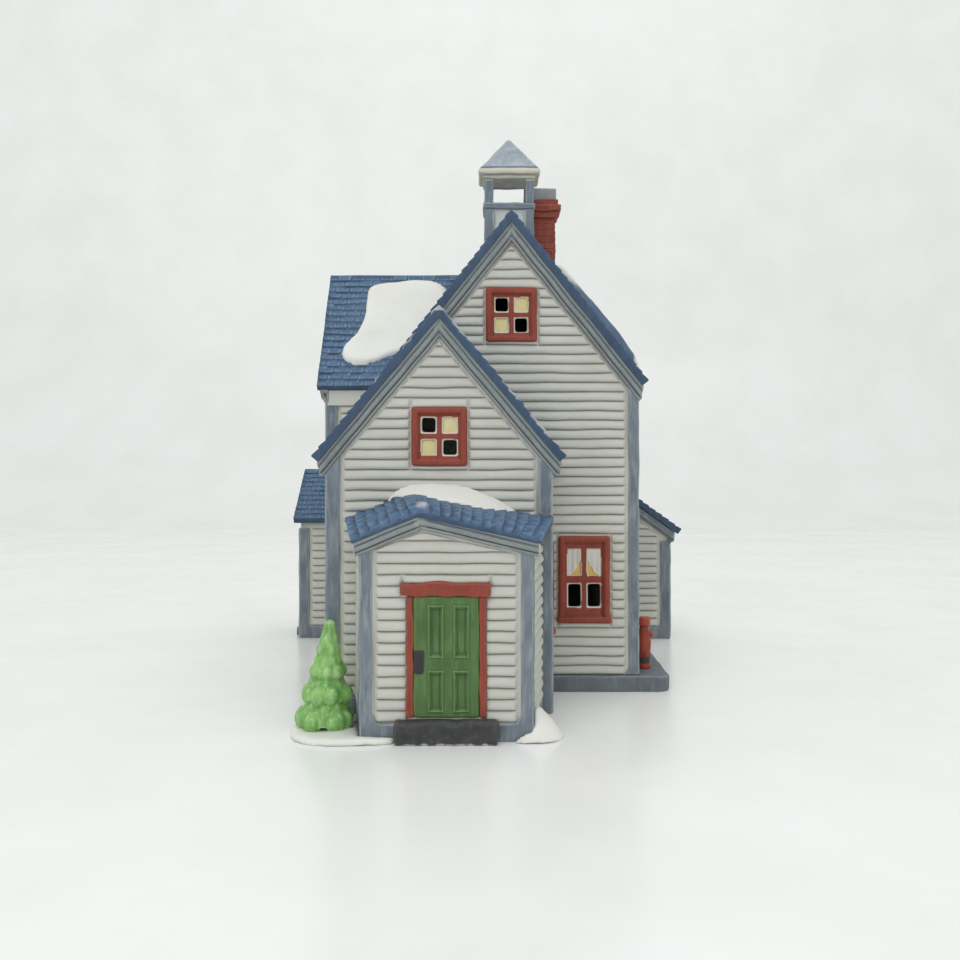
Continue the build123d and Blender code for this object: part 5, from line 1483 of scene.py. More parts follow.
@dataclass
class Slope:
    """One slope of a roof, as a skin of overlapping shingles on a flat bed; corners are in millimetres.

    Steps are the rows of one course: places from butt to top, and shares of the butt's thickness.
    """

    eave_start: Point
    eave_end: Point
    ridge_start: Point
    ridge_end: Point
    seed: int
    shingle_mm: float = 5.2
    course_mm: float = 3.3
    butt_mm: float = 0.46
    joint_mm: float = 0.3
    gap_mm: float = 0.3
    skin_mm: float = 2.2
    ragged_mm: float = 0.22
    dip_mm: float = 0.0
    dip_share: float = 0.36
    dip_power: float = 1.4
    tilt_mm: float = 0.09
    joint_least: float = 0.35
    butt_share: float = 0.2
    shift_share: float = 0.14
    between_share: float = 0.25
    steps: tuple[Pair, ...] = ((0.0, 0.4), (0.05, 0.82), (0.14, 1.0), (0.45, 0.74), (0.97, 0.06))
    rim_shade: float = -0.62
    rim_shade_above: float = 0.6

    def build(self) -> BMesh:
        """Returns the slope as a closed bmesh."""
        start, end = Vector(self.eave_start), Vector(self.eave_end)
        top_start, top_end = Vector(self.ridge_start), Vector(self.ridge_end)
        up = ((top_start + top_end) - (start + end)).normalized()
        normal = (end - start).cross(up).normalized()
        if normal.z < 0:
            normal = -normal
        rng = random.Random(self.seed)
        length = ((end - start).length + (top_end - top_start).length) / 2
        rise = ((top_start - start).length + (top_end - end).length) / 2
        shingles = max(2, round(length / self.shingle_mm))
        courses = max(2, round(rise / self.course_mm))
        rows = self._rows(courses)
        columns = self._columns(shingles, length)
        tilts = [[rng.uniform(-1, 1) for _ in range(shingles + 2)] for _ in range(courses)]
        drops = [[rng.uniform(-1, 1) for _ in range(shingles + 2)] for _ in range(courses)]
        shifts = [rng.uniform(-self.shift_share, self.shift_share) for _ in range(courses)]
        bm = bmesh.new()
        grid = []
        for course, share, lift in rows:
            line = []
            for u, joint, edge in columns:
                half = (course % 2) * 0.5
                shingle = int(u * shingles + half + ROUNDING)
                open_joint = joint == course % 2
                height = lift * self.butt_mm
                height += tilts[course][shingle] * self.tilt_mm * lift
                if open_joint and not edge:
                    height -= self.joint_mm * (self.joint_least + (1 - self.joint_least) * lift)
                height -= self.dip_mm * max(0.0, 1 - u / self.dip_share) ** self.dip_power
                v = (course + share) / courses
                if share < self.butt_share and course > 0:
                    v += drops[course][shingle] * self.ragged_mm / rise
                along = u if edge else u + shifts[course] / shingles
                foot = start.lerp(end, along).lerp(top_start.lerp(top_end, along), v)
                line.append(bm.verts.new((foot + normal * height) * MM))
            grid.append(line)
        for lower, upper in zip(grid, grid[1:]):
            for i in range(len(lower) - 1):
                bm.faces.new((lower[i], lower[i + 1], upper[i + 1], upper[i]))
        rim = self._close(bm, normal, start * MM)
        bmesh.ops.recalc_face_normals(bm, faces=bm.faces)
        for vert in bm.verts:
            vert.co = wandering(vert.co, HAND_LAID)
        felt(bm)
        bm.verts.ensure_lookup_table()
        curve = bm.verts.layers.float[CURVE]
        # The rim's lower points and the row above them count as hollow, which darkens the roof's edge band
        # towards its lower side as painted shade.
        for vert in [bm.verts[i] for i in rim]:
            vert[curve] = self.rim_shade
            for edge in vert.link_edges:
                above = edge.other_vert(vert)
                if above.index not in rim:
                    above[curve] = self.rim_shade * self.rim_shade_above
        return bm

    def _rows(self, courses: int) -> list[tuple[int, float, float]]:
        """Course, place in it from butt to top, and share of the butt's thickness, row by row."""
        rows = [(course, share, lift) for course in range(courses) for share, lift in self.steps]
        return rows + [(courses - 1, 1.0, 0.0)]

    def _columns(self, shingles: int, length: float) -> list[tuple[float, Optional[int], bool]]:
        """Places the columns of points along the eave.

        Args:
            shingles: Shingles in a course.
            length: Length of a course.

        Returns:
            Share of the eave, parity of the courses with a joint there, and whether it is an end.
        """
        gap = self.gap_mm / length
        columns: list[tuple[float, Optional[int], bool]] = [(0.0, None, True)]
        for i in range(1, 2 * shingles):
            u = i / (2 * shingles)
            columns += [(u - gap, None, False), (u, i % 2, False), (u + gap, None, False)]
            columns.append((u + self.between_share / shingles, None, False))
        return columns[:-1] + [(1.0, None, True)]

    def _close(self, bm: BMesh, normal: Vector, start: Vector) -> set[int]:
        """Gives the skin its rim and its flat underside.

        Args:
            bm: The skin.
            normal: Way out of the slope.
            start: A point of its bed in metres.

        Returns:
            Numbers of the rim's lower points.
        """
        edges = [edge for edge in bm.edges if edge.is_boundary]
        lowered = bmesh.ops.extrude_edge_only(bm, edges=edges)["geom"]
        rim = [item for item in lowered if isinstance(item, BMVert)]
        for vert in rim:
            out = (vert.co - start).dot(normal)
            vert.co -= normal * (out + self.skin_mm * MM)
        loop = [item for item in lowered if isinstance(item, bmesh.types.BMEdge) and item.is_boundary]
        bmesh.ops.contextual_create(bm, geom=loop)
        bm.verts.index_update()
        return {vert.index for vert in rim}


@dataclass
class Gable:
    """A pitched roof: places across the ridge, along it, and heights, in millimetres."""

    node: str
    centre: float
    reach: float
    ridge: float
    eave: float
    start: float
    end: float
    along: Way
    seed: int
    shingle_mm: float = 5.6

    def point(self, across: float, run: float, height: float) -> Point:
        """Turns a place across and along the ridge into a row point."""
        return (across, run, height) if self.along is Way.Y else (run, across, height)

    def slopes(self) -> list[Slope]:
        """Both slopes."""
        made = []
        for i, side in enumerate((-1, 1)):
            eave = self.centre + side * self.reach
            made.append(
                Slope(
                    self.point(eave, self.start, self.eave),
                    self.point(eave, self.end, self.eave),
                    self.point(self.centre, self.start, self.ridge),
                    self.point(self.centre, self.end, self.ridge),
                    self.seed + i,
                    self.shingle_mm,
                )
            )
        return made


@dataclass
class Roofs:
    """All shingled roofs of the house."""

    main: Gable = field(
        default_factory=lambda: Gable("main_roof", 7.5, 44.5, 157.6, 101.7, -38.0, 97.2, Way.Y, 11)
    )
    wing: Gable = field(
        default_factory=lambda: Gable("front_wing_roof", -15.1, 37.9, 122.8, 77.5, -68.0, -34.5, Way.Y, 21)
    )
    left: Gable = field(
        default_factory=lambda: Gable("left_wing_roof", 35.6, 37.0, 147.2, 101.8, -61.4, 4.0, Way.X, 31)
    )
    main_front: float = -34.4
    main_back: float = 93.6
    wing_front: float = -64.4
    left_front: float = -57.8
    vestibule_wall: float = -95.4
    vestibule_dip: float = 1.9
    vestibule_seed: int = 41
    vestibule_shingle_mm: float = 6.4
    vestibule_butt_mm: float = 0.42
    vestibule_joint_mm: float = 0.34
    vestibule_ragged_mm: float = 0.3
    missed_share: float = 0.7
    missed_gain: float = 1.2
    missed_mm: float = 0.8
    missed_wave_mm: float = 8.0
    missed_wide_mm: float = 6.0
    missed_long_mm: float = 15.0
    missed_back_mm: float = 9.0
    vestibule_front_y: float = -98.8
    vestibule_back_y: float = -64.5
    vestibule_front: tuple[Pair, ...] = ((-38.34, 56.5), (-19.0, 64.4), (14.34, 56.5))
    vestibule_back: tuple[Pair, ...] = ((-43.5, 58.9), (-22.8, 66.8), (19.5, 58.9))
    left_lean_low: Pair = (58.6, 50.0)
    left_lean_high: Pair = (89.7, 69.7)
    left_lean_ends: tuple[float, float, float] = (-80.0, -57.9, -33.7)
    left_wing_back: float = 69.7
    right_lean_low: Pair = (80.0, 45.5)
    right_lean_high: Pair = (48.7, 68.3)
    left_lean_seed: int = 51
    right_lean_seed: int = 61
    cut_mm: float = 0.6
    sharp_deg: float = 70.0

    def build(self) -> None:
        """Makes every roof."""
        self._roof(self.main.node, self.main.slopes())
        self._roof(self.wing.node, self.wing.slopes(), coat=self._missed_edge)
        self._roof(self.left.node, self.left.slopes(), self._behind_main_slope)
        self._roof("vestibule_roof", self._vestibule(), coat=self._missed_ridge)
        self._roof("left_lean_to_roof", self._left_lean())
        self._roof("right_lean_to_roof", self._right_lean())

    def _roof(self, node: str, slopes: Iterable[Slope],
              trim: Optional[Callable[[BMesh], None]] = None,
              coat: Optional[Coat] = None) -> None:
        """Joins slopes into one piece.

        Args:
            node: Name of the CAD node.
            slopes: Its slopes.
            trim: Cuts each slope before it is joined.
            coat: Share of bare clay at a point in millimetres.
        """
        whole = bmesh.new()
        for slope in slopes:
            bm = slope.build()
            if trim:
                trim(bm)
            part = bpy.data.meshes.new(node + "_slope")
            bm.to_mesh(part)
            bm.free()
            whole.from_mesh(part)
            bpy.data.meshes.remove(part)
        finish = ROOF_WORN if coat else ROOF
        put(node + "_shingles", mesh_of(whole, node, self.sharp_deg, coat), [finish], "house", [node])

    def _missed_edge(self, point: Vector) -> float:
        """Leaves patches bare along the top of the front wing's roof edge.

        Args:
            point: Point in millimetres.

        Returns:
            Share of bare clay.
        """
        wing = self.wing
        bed = wing.ridge - (wing.ridge - wing.eave) * abs(point.x - wing.centre) / wing.reach
        if point.z < bed - self.missed_mm:
            return 0.0
        patch = eased(self.missed_share + self.missed_gain * noise.noise(point / self.missed_wave_mm))
        return patch * (1 - eased((point.y - wing.start) / self.missed_mm))

    def _missed_ridge(self, point: Vector) -> float:
        """Leaves the bend of the vestibule's ridge bare.

        Args:
            point: Point in millimetres.

        Returns:
            Share of bare clay.
        """
        across = abs(point.x - self.vestibule_front[1][0]) / self.missed_wide_mm
        along = abs(point.y - self.vestibule_front_y - self.missed_back_mm) / self.missed_long_mm
        return (1 - eased(across)) * (1 - eased(along))

    def _behind_main_slope(self, bm: BMesh) -> None:
        """Cuts the left wing's slopes where they die into the main roof.

        Args:
            bm: One slope.
        """
        main = self.main
        slope = Vector((main.ridge - main.eave, 0.0, main.reach)).normalized()
        spot = Vector((main.centre - self.cut_mm, 0.0, main.ridge)) * MM
        out = Vector((-slope.x, 0.0, slope.z))
        geometry = bm.verts[:] + bm.edges[:] + bm.faces[:]
        bmesh.ops.bisect_plane(
            bm, geom=geometry, dist=CUT_M, plane_co=spot - out * MM, plane_no=out, clear_inner=True
        )
        edges = [edge for edge in bm.edges if edge.is_boundary]
        bmesh.ops.triangle_fill(bm, edges=edges, use_beauty=False)
        bmesh.ops.recalc_face_normals(bm, faces=bm.faces)

    def _vestibule(self) -> list[Slope]:
        """Both slopes over the front door, which spread and rise towards the wing."""
        made = []
        for i, side in enumerate((0, 2)):
            near, far = self.vestibule_front, self.vestibule_back
            corners = [
                (near[side][0], self.vestibule_front_y, near[side][1]),
                (far[side][0], self.vestibule_back_y, far[side][1]),
                (near[1][0], self.vestibule_front_y, near[1][1]),
                (far[1][0], self.vestibule_back_y, far[1][1]),
            ]
            made.append(
                Slope(
                    *corners,
                    seed=self.vestibule_seed + i,
                    shingle_mm=self.vestibule_shingle_mm,
                    butt_mm=self.vestibule_butt_mm,
                    joint_mm=self.vestibule_joint_mm,
                    ragged_mm=self.vestibule_ragged_mm,
                    dip_mm=self.vestibule_dip,
                )
            )
        return made

    def _left_lean(self) -> list[Slope]:
        """The lean-to at the left, in two parts round the corner of the left wing."""
        low, high = self.left_lean_low, self.left_lean_high
        share = (self.left_wing_back - low[0]) / (high[0] - low[0])
        cut = (self.left_wing_back, low[1] + (high[1] - low[1]) * share)
        left, middle, right = self.left_lean_ends
        made = []
        for i, (ends, foot) in enumerate((((left, middle), low), ((middle, right), cut))):
            corners = [(x, y, z) for y, z in (foot, high) for x in ends]
            made.append(Slope(*corners, seed=self.left_lean_seed + i))
        return made

    def _right_lean(self) -> list[Slope]:
        """The lean-to at the right."""
        ends = [corner.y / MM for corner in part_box("right_lean_to_roof")]
        corners = [(x, y, z) for x, z in (self.right_lean_low, self.right_lean_high) for y in ends]
        return [Slope(*corners, seed=self.right_lean_seed)]


@dataclass(frozen=True)
class Pitch:
    """One gable end: a point of its wall under the ridge, the ways across and out, and its eaves and ridge.

    Eaves and ridge are places across and heights on top of the roof, in millimetres.
    """

    wall: Point
    across: Point
    out: Point
    eaves: tuple[Pair, Pair]
    ridge: Pair

    def point(self, across: float, height: float, out: float) -> Vector:
        """Row point in metres."""
        spot = Vector(self.wall) + Vector(self.across) * across + Vector(self.out) * out
        return Vector((spot.x, spot.y, height)) * MM


@dataclass
class Rakes:
    """Moulded boards that follow the slopes under the roof edges, worn round at their lower ends.

    The section is a row of depths under the roof's top and distances out of the wall.
    """

    roofs: "Roofs"
    section: tuple[Pair, ...] = (
        (1.7, -0.3), (1.7, 2.1), (1.95, 2.55), (2.4, 2.75),
        (2.85, 2.65), (3.1, 2.35), (3.35, 2.3), (3.75, 2.5),
        (4.3, 2.45), (4.7, 2.15), (4.88, 1.55), (5.05, 1.3),
        (5.25, 1.5), (5.6, 1.5), (5.9, 1.15), (6.05, 0.6),
        (6.1, -0.3),
    )
    step_mm: float = 2.4
    end_mm: float = 1.8
    end_rows: int = 6
    end_lean: float = 0.45
    end_depth_least: float = 0.3
    end_out_least: float = 0.35
    fewest_steps: int = 4
    sharp_deg: float = 75.0
    sway_mm: float = 0.2
    sway_wave_mm: float = 9.0
    bare_mm: float = 1.6

    def build(self) -> None:
        """Makes the boards of every gable."""
        main, wing, left = self.roofs.main, self.roofs.wing, self.roofs.left
        ahead, behind, sideways = (0.0, -1.0, 0.0), (0.0, 1.0, 0.0), (-1.0, 0.0, 0.0)
        self._boards("main_rake_boards", [
            self._gable(main, (main.centre, self.roofs.main_front, 0.0), (1.0, 0.0, 0.0), ahead),
            self._gable(main, (main.centre, self.roofs.main_back, 0.0), (-1.0, 0.0, 0.0), behind),
        ])
        self._boards("front_wing_rake_boards", [
            self._gable(wing, (wing.centre, self.roofs.wing_front, 0.0), (1.0, 0.0, 0.0), ahead)
        ])
        self._boards("left_wing_rake_boards", [
            self._gable(left, (self.roofs.left_front, left.centre, 0.0), (0.0, -1.0, 0.0), sideways)
        ])
        porch = self.roofs.vestibule_front
        wall = (0.0, self.roofs.vestibule_wall, 0.0)
        ends = (porch[0], porch[2])
        self._boards(
            "vestibule_rake_boards",
            [Pitch(wall, (1.0, 0.0, 0.0), ahead, ends, porch[1])],
            lambda spot: eased(max(ends[0][0] + self.bare_mm - spot.x, spot.x - ends[1][0] + self.bare_mm)),
        )

    @staticmethod
    def _gable(gable: "Gable", wall: Point, across: Point, out: Point) -> Pitch:
        """Gable end of a roof with equal slopes."""
        eaves = ((-gable.reach, gable.eave), (gable.reach, gable.eave))
        return Pitch(wall, across, out, eaves, (0.0, gable.ridge))

    def _boards(self, node: str, pitches: Sequence[Pitch],
                coat: Optional[Coat] = None) -> None:
        """Makes one node's boards.

        Args:
            node: Name of the CAD node.
            pitches: Its gable ends.
            coat: Share of bare clay at a point in millimetres.
        """
        bm = bmesh.new()
        for pitch in pitches:
            for eave in pitch.eaves:
                self._board(bm, pitch, eave)
        bmesh.ops.recalc_face_normals(bm, faces=bm.faces)
        put(node + "_moulding", mesh_of(bm, node, self.sharp_deg, coat), [RAKE], "house", [node])

    def _board(self, bm: BMesh, pitch: Pitch, eave: Pair) -> None:
        """Sweeps the section down one slope, mitred at the ridge.

        Args:
            bm: Bmesh that gets the board.
            pitch: The gable end.
            eave: Place across and height of the slope's eave.
        """
        run, drop = eave[0] - pitch.ridge[0], pitch.ridge[1] - eave[1]
        length, side = hypot(run, drop), (1.0 if run > 0 else -1.0)
        lean = drop / abs(run)
        down = (run / length, -drop / length)
        under = (-side * drop / length, -abs(run) / length)
        middle = sum(depth for depth, _ in self.section) / len(self.section)
        count = max(self.fewest_steps, round(length / self.step_mm))
        rings = []
        for i in range(count + self.end_rows + 1):
            straight = min(1.0, i / count)
            turn = max(0, i - count) / self.end_rows
            shrink = (1 - turn * turn) ** 0.5
            flat = self.end_depth_least + (1 - self.end_depth_least) * shrink
            thin = self.end_out_least + (1 - self.end_out_least) * shrink
            ring = []
            for depth, out in self.section:
                start = depth * lean
                end = length + depth * lean * self.end_lean - self.end_mm
                place = start + (end - start) * straight + self.end_mm * sin(turn * pi / 2)
                eased_depth = middle + (depth - middle) * flat
                eased_out = out * thin if out > 0 else out
                across = pitch.ridge[0] + down[0] * place + under[0] * eased_depth
                height = pitch.ridge[1] + down[1] * place + under[1] * eased_depth
                point = pitch.point(across, height, eased_out)
                if out > 0:
                    point += noise.noise_vector(point / (self.sway_wave_mm * MM)) * self.sway_mm * MM
                ring.append(bm.verts.new(point))
            rings.append(ring)
        for first, second in zip(rings, rings[1:]):
            for j in range(len(self.section)):
                k = (j + 1) % len(self.section)
                bm.faces.new((first[j], first[k], second[k], second[j]))
        bm.faces.new(list(reversed(rings[0])))
        bm.faces.new(rings[-1])


@dataclass
class Snow:
    """Poured snow: CAD solids melted into soft skins with a gently uneven top."""

    voxel_mm: float = 0.75
    rounds: int = 9
    lump_mm: float = 7.0
    lump_height_mm: float = 0.35
    settle: Mapping[str, Point] = field(
        default_factory=lambda: {
            "snow_main_roof": (-0.35, 0.0, -0.3),
            "snow_left_wing": (0.0, 0.35, -0.3),
            "snow_vestibule_roof": (0.0, 0.0, -0.35),
            "snow_drift": (0.0, 0.0, 0.0),
            "snow_heap": (-0.2, 0.0, 0.0),
        }
    )
    crest_low: float = 61.5
    crest_rise: float = 9.0
    crest_shift: float = 8.0
    crest_sink: float = 2.4
    wing_spread: float = 1.15
    blue_deep: float = 4.6
    blue_fade: float = 2.6

    def build(self) -> None:
        """Makes every snow piece."""
        for node, shift in self.settle.items():
            finish, coat = SNOW, None
            if node == "snow_main_roof":
                finish, coat = SNOW_EDGED, self._blue_front(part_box(node)[0].y / MM)
            mesh = grown(node, self.voxel_mm, self.rounds, self._settled(node, shift), coat)
            put(node + "_slip", mesh, [finish], "house", [node])

    def _settled(self, node: str, shift: Point) -> Move:
        """Beds a skin, makes it uneven and keeps it from going under the table.

        Args:
            node: Name of the CAD node.
            shift: How far it settles in millimetres.

        Returns:
            The move of a point in metres.
        """
        bed = Vector(shift) * MM
        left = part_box(node)[0].x

        def move(point: Vector) -> Vector:
            """Place of one point."""
            spot = point + bed
            if node == "snow_vestibule_roof":
                rise = (point.z / MM - self.crest_low) / self.crest_rise
                rise = min(1.0, max(0.0, rise))
                spot.x -= self.crest_shift * MM * rise
                spot.z -= self.crest_sink * MM * (1 - rise)
            if node == "snow_left_wing":
                spot.x = left + (spot.x - left) * self.wing_spread
            spot += noise.noise_vector(point / (self.lump_mm * MM)) * self.lump_height_mm * MM
            spot.z = max(spot.z, 0.0)
            return spot

        return move

    def _blue_front(self, front: float) -> Coat:
        """Returns the share of roof colour that was brushed over the snow's front end."""
        return lambda point: 1.0 - eased((point.y - front - self.blue_deep) / self.blue_fade)


@dataclass(frozen=True)
class Tier:
    """One tier of the pine, in shares of its height and radius, with its boughs' number and size."""

    hem: float
    neck: float
    reach: float
    boughs: int
    bough_mm: float


@dataclass
class Pine:
    """Small pine of lumpy tiers, leaning a little.

    Each tier has rows of boughs: places from hem to neck, and sizes.
    """

    node: str = "pine_tree"
    tiers: tuple[Tier, ...] = (
        Tier(0.0, 0.36, 1.06, 8, 2.9),
        Tier(0.23, 0.56, 0.9, 8, 2.5),
        Tier(0.45, 0.78, 0.7, 7, 2.1),
        Tier(0.67, 0.98, 0.47, 6, 1.5),
    )
    rows: tuple[Pair, ...] = ((0.04, 1.0), (0.4, 0.5))
    hem_share: float = 0.35
    core_share: float = 0.6
    core_sides: int = 24
    turn_drift: float = 0.22
    sizes: Pair = (0.85, 1.15)
    level_drift: float = 0.15
    droop: float = -0.5
    tip_detail: int = 3
    bough_detail: int = 2
    neck_share: float = 0.6
    tip_mm: float = 1.15
    lean_mm: float = 1.3
    long: float = 1.12
    voxel_mm: float = 0.42
    rounds: int = 6
    seed: int = 71

    def build(self) -> None:
        """Makes the tree."""
        low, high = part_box(self.node)
        foot = Vector(((low.x + high.x) / 2, (low.y + high.y) / 2, low.z))
        radius, height = (high.x - low.x) / 2, high.z - low.z
        rng = random.Random(self.seed)
        lumps = bmesh.new()
        for tier in self.tiers:
            self._tier(lumps, rng, tier, foot, radius, height)
        tip = Matrix.Translation(foot + Vector((0, 0, height - self.tip_mm * MM)))
        bmesh.ops.create_icosphere(lumps, subdivisions=self.tip_detail, radius=self.tip_mm * MM, matrix=tip)
        mesh = bpy.data.meshes.new("pine_lumps")
        lumps.to_mesh(mesh)
        lumps.free()
        bm = melted(mesh, self.voxel_mm, self.rounds)
        for vert in bm.verts:
            vert.co.x += self.lean_mm * MM * (vert.co.z - low.z) / height
            vert.co.z = max(vert.co.z, low.z)
        put("pine_tree_boughs", mesh_of(bm, self.node, SKIN_SHARP_DEG), [PINE], "house", [self.node])

    def _tier(self, bm: BMesh, rng: random.Random, tier: Tier, foot: Vector, radius: float,
              height: float) -> None:
        """Adds the core and the boughs of one tier.

        Args:
            bm: Bmesh that gets the lumps.
            rng: Source of the boughs' differences.
            tier: The tier.
            foot: Middle of the tree's foot.
            radius: Radius of the lowest tier.
            height: Height of the tree.
        """
        bough = tier.bough_mm * MM
        reach = radius * tier.reach - bough
        hem, neck = height * tier.hem + bough * self.hem_share, height * tier.neck
        top = reach * self.neck_share
        middle = Matrix.Translation(foot + Vector((0, 0, (hem + neck) / 2)))
        bmesh.ops.create_cone(
            bm, cap_ends=True, segments=self.core_sides, radius1=reach + bough * self.core_share, radius2=top,
            depth=neck - hem, matrix=middle,
        )
        turn = rng.uniform(0, 2 * pi)
        for row, (share, size) in enumerate(self.rows):
            out = reach + (top - reach) * share
            for i in range(tier.boughs):
                drift = rng.uniform(-self.turn_drift, self.turn_drift)
                angle = turn + 2 * pi * (i + 0.5 * row + drift) / tier.boughs
                scale = bough * size * rng.uniform(*self.sizes)
                rise = self.hem_share + rng.uniform(-self.level_drift, self.level_drift)
                level = hem + (neck - hem) * share + bough * rise
                place = foot + Vector((cos(angle) * out, sin(angle) * out, level))
                pose = Matrix.Rotation(angle, 4, "Z") @ Matrix.Rotation(self.droop, 4, "Y")
                size_matrix = Matrix.Diagonal((scale, scale, scale * self.long, 1.0))
                whole = Matrix.Translation(place) @ pose @ size_matrix
                bmesh.ops.create_icosphere(bm, subdivisions=self.bough_detail, radius=1.0, matrix=whole)


@dataclass(frozen=True)
class Firing:
    """How soft one node came out of the kiln.

    Skin fineness, smoothing and lumps, how far the top is drawn up at its outer ends, and how steeply it
    rises from there to meet the rake boards, across X or Y. Slim is the share by which the inner edges of
    corner boards are drawn out, whose corner lies a little inside the node's ends.
    """

    finish: Bisque
    voxel_mm: float = 0.38
    rounds: int = 4
    swell_mm: float = 0.22
    lump_mm: float = 4.0
    lift_mm: float = 0.0
    rise: float = 0.0
    across: Way = Way.X
    slim: float = 0.0
    corner_mm: float = 0.0


@dataclass
class Melted:
    """Nodes that the kiln left without one sharp edge."""

    plan: Mapping[str, Firing] = field(
        default_factory=lambda: {
            "front_step": Firing(CHARCOAL, 0.6, 14, 0.5, 5.0),
            "side_step": Firing(CHARCOAL, rounds=6),
            "chimney_stack": Firing(BRICK, 0.24, 1, 0.25),
            "chimney_cap": Firing(CAP, rounds=6),
            "cupola_base": Firing(CUPOLA_BASE, rounds=3),
            "cupola_posts": Firing(CUPOLA_POSTS),
            "cupola_rails": Firing(CUPOLA_POSTS, rounds=3),
            "cupola_roof": Firing(CUPOLA_ROOF, rounds=5),
            "door_latch_plate": Firing(IRON, 0.25),
            "front_door_frame": Firing(RED, 0.32, 5, 0.4, 5.0),
            "front_door_lintel": Firing(RED, 0.32, 12, 0.55, 5.0),
            "main_corner_boards": Firing(TRIM, 0.5, 4, 0.26, 9.0, 1.6, 1.1, slim=0.22),
            "front_wing_trim": Firing(TRIM, 0.5, 4, 0.26, 9.0, 1.6, 1.2),
            "vestibule_trim": Firing(TRIM, 0.45, 4, 0.26, 9.0, 0.8, 0.35, slim=0.22, corner_mm=4.48),
            "left_wing_trim": Firing(TRIM, 0.5, 4, 0.26, 9.0, 1.6, 1.1, Way.Y),
            "left_lean_to_trim": Firing(TRIM, 0.5, 4, 0.26, 9.0),
            "right_lean_to_trim": Firing(TRIM, 0.5, 4, 0.26, 9.0),
            "main_plinth": Firing(PLINTH, 0.55, 5, 0.26, 9.0),
        }
    )
    cupola_middle: Pair = (7.5, -1.4)
    post_from: float = 5.5
    beam_low: float = 173.4
    top_mm: float = 2.0
    board_mm: float = 5.0
    skirt_mm: float = 5.6
    edge_mm: float = 0.5

    def build(self) -> None:
        """Makes every piece."""
        coats = {"cupola_base": self._corner, "cupola_posts": self._beam, "cupola_rails": self._beam}
        for node, firing in self.plan.items():
            mesh = grown(node, firing.voxel_mm, firing.rounds, self._uneven(node, firing), coats.get(node))
            put(node + "_soft", mesh, [firing.finish], "house", [node])

    def _uneven(self, node: str, firing: Firing) -> Move:
        """Moves a skin as thumbs and slip do, draws up its top and keeps it from going under the table.

        Args:
            node: Name of the CAD node.
            firing: How soft it came out.

        Returns:
            The move of a point in metres.
        """
        low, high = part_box(node)
        way = firing.across.value
        middle, half = (low[way] + high[way]) / 2, (high[way] - low[way]) / 2

        def move(point: Vector) -> Vector:
            """Place of one point."""
            swell = firing.swell_mm * MM * eased(point.z / (self.top_mm * MM))
            spot = point + noise.noise_vector(point / (firing.lump_mm * MM)) * swell
            inward = max(half - abs(point[way] - middle), 0.0)
            depth = inward - firing.corner_mm * MM
            if 0 < depth < self.board_mm * MM:
                slim = firing.slim * eased((point.z / MM - self.skirt_mm) / self.top_mm)
                spot[way] += copysign(slim * depth, point[way] - middle)
            lift = firing.lift_mm * MM + firing.rise * min(inward, self.board_mm * MM)
            spot.z += lift * eased(1 + (point.z - high.z) / (self.top_mm * MM))
            spot.z = max(spot.z, 0.0)
            return spot

        return move

    def _corner(self, point: Vector) -> float:
        """Share of trim stain on the cupola's base: its corner posts."""
        across = min(abs(point.x - self.cupola_middle[0]), abs(point.y - self.cupola_middle[1]))
        return eased((across - self.post_from) / self.edge_mm)

    def _beam(self, point: Vector) -> float:
        """Share of bare clay on the cupola's posts: the beam over them."""
        return eased((point.z - self.beam_low) / self.edge_mm)


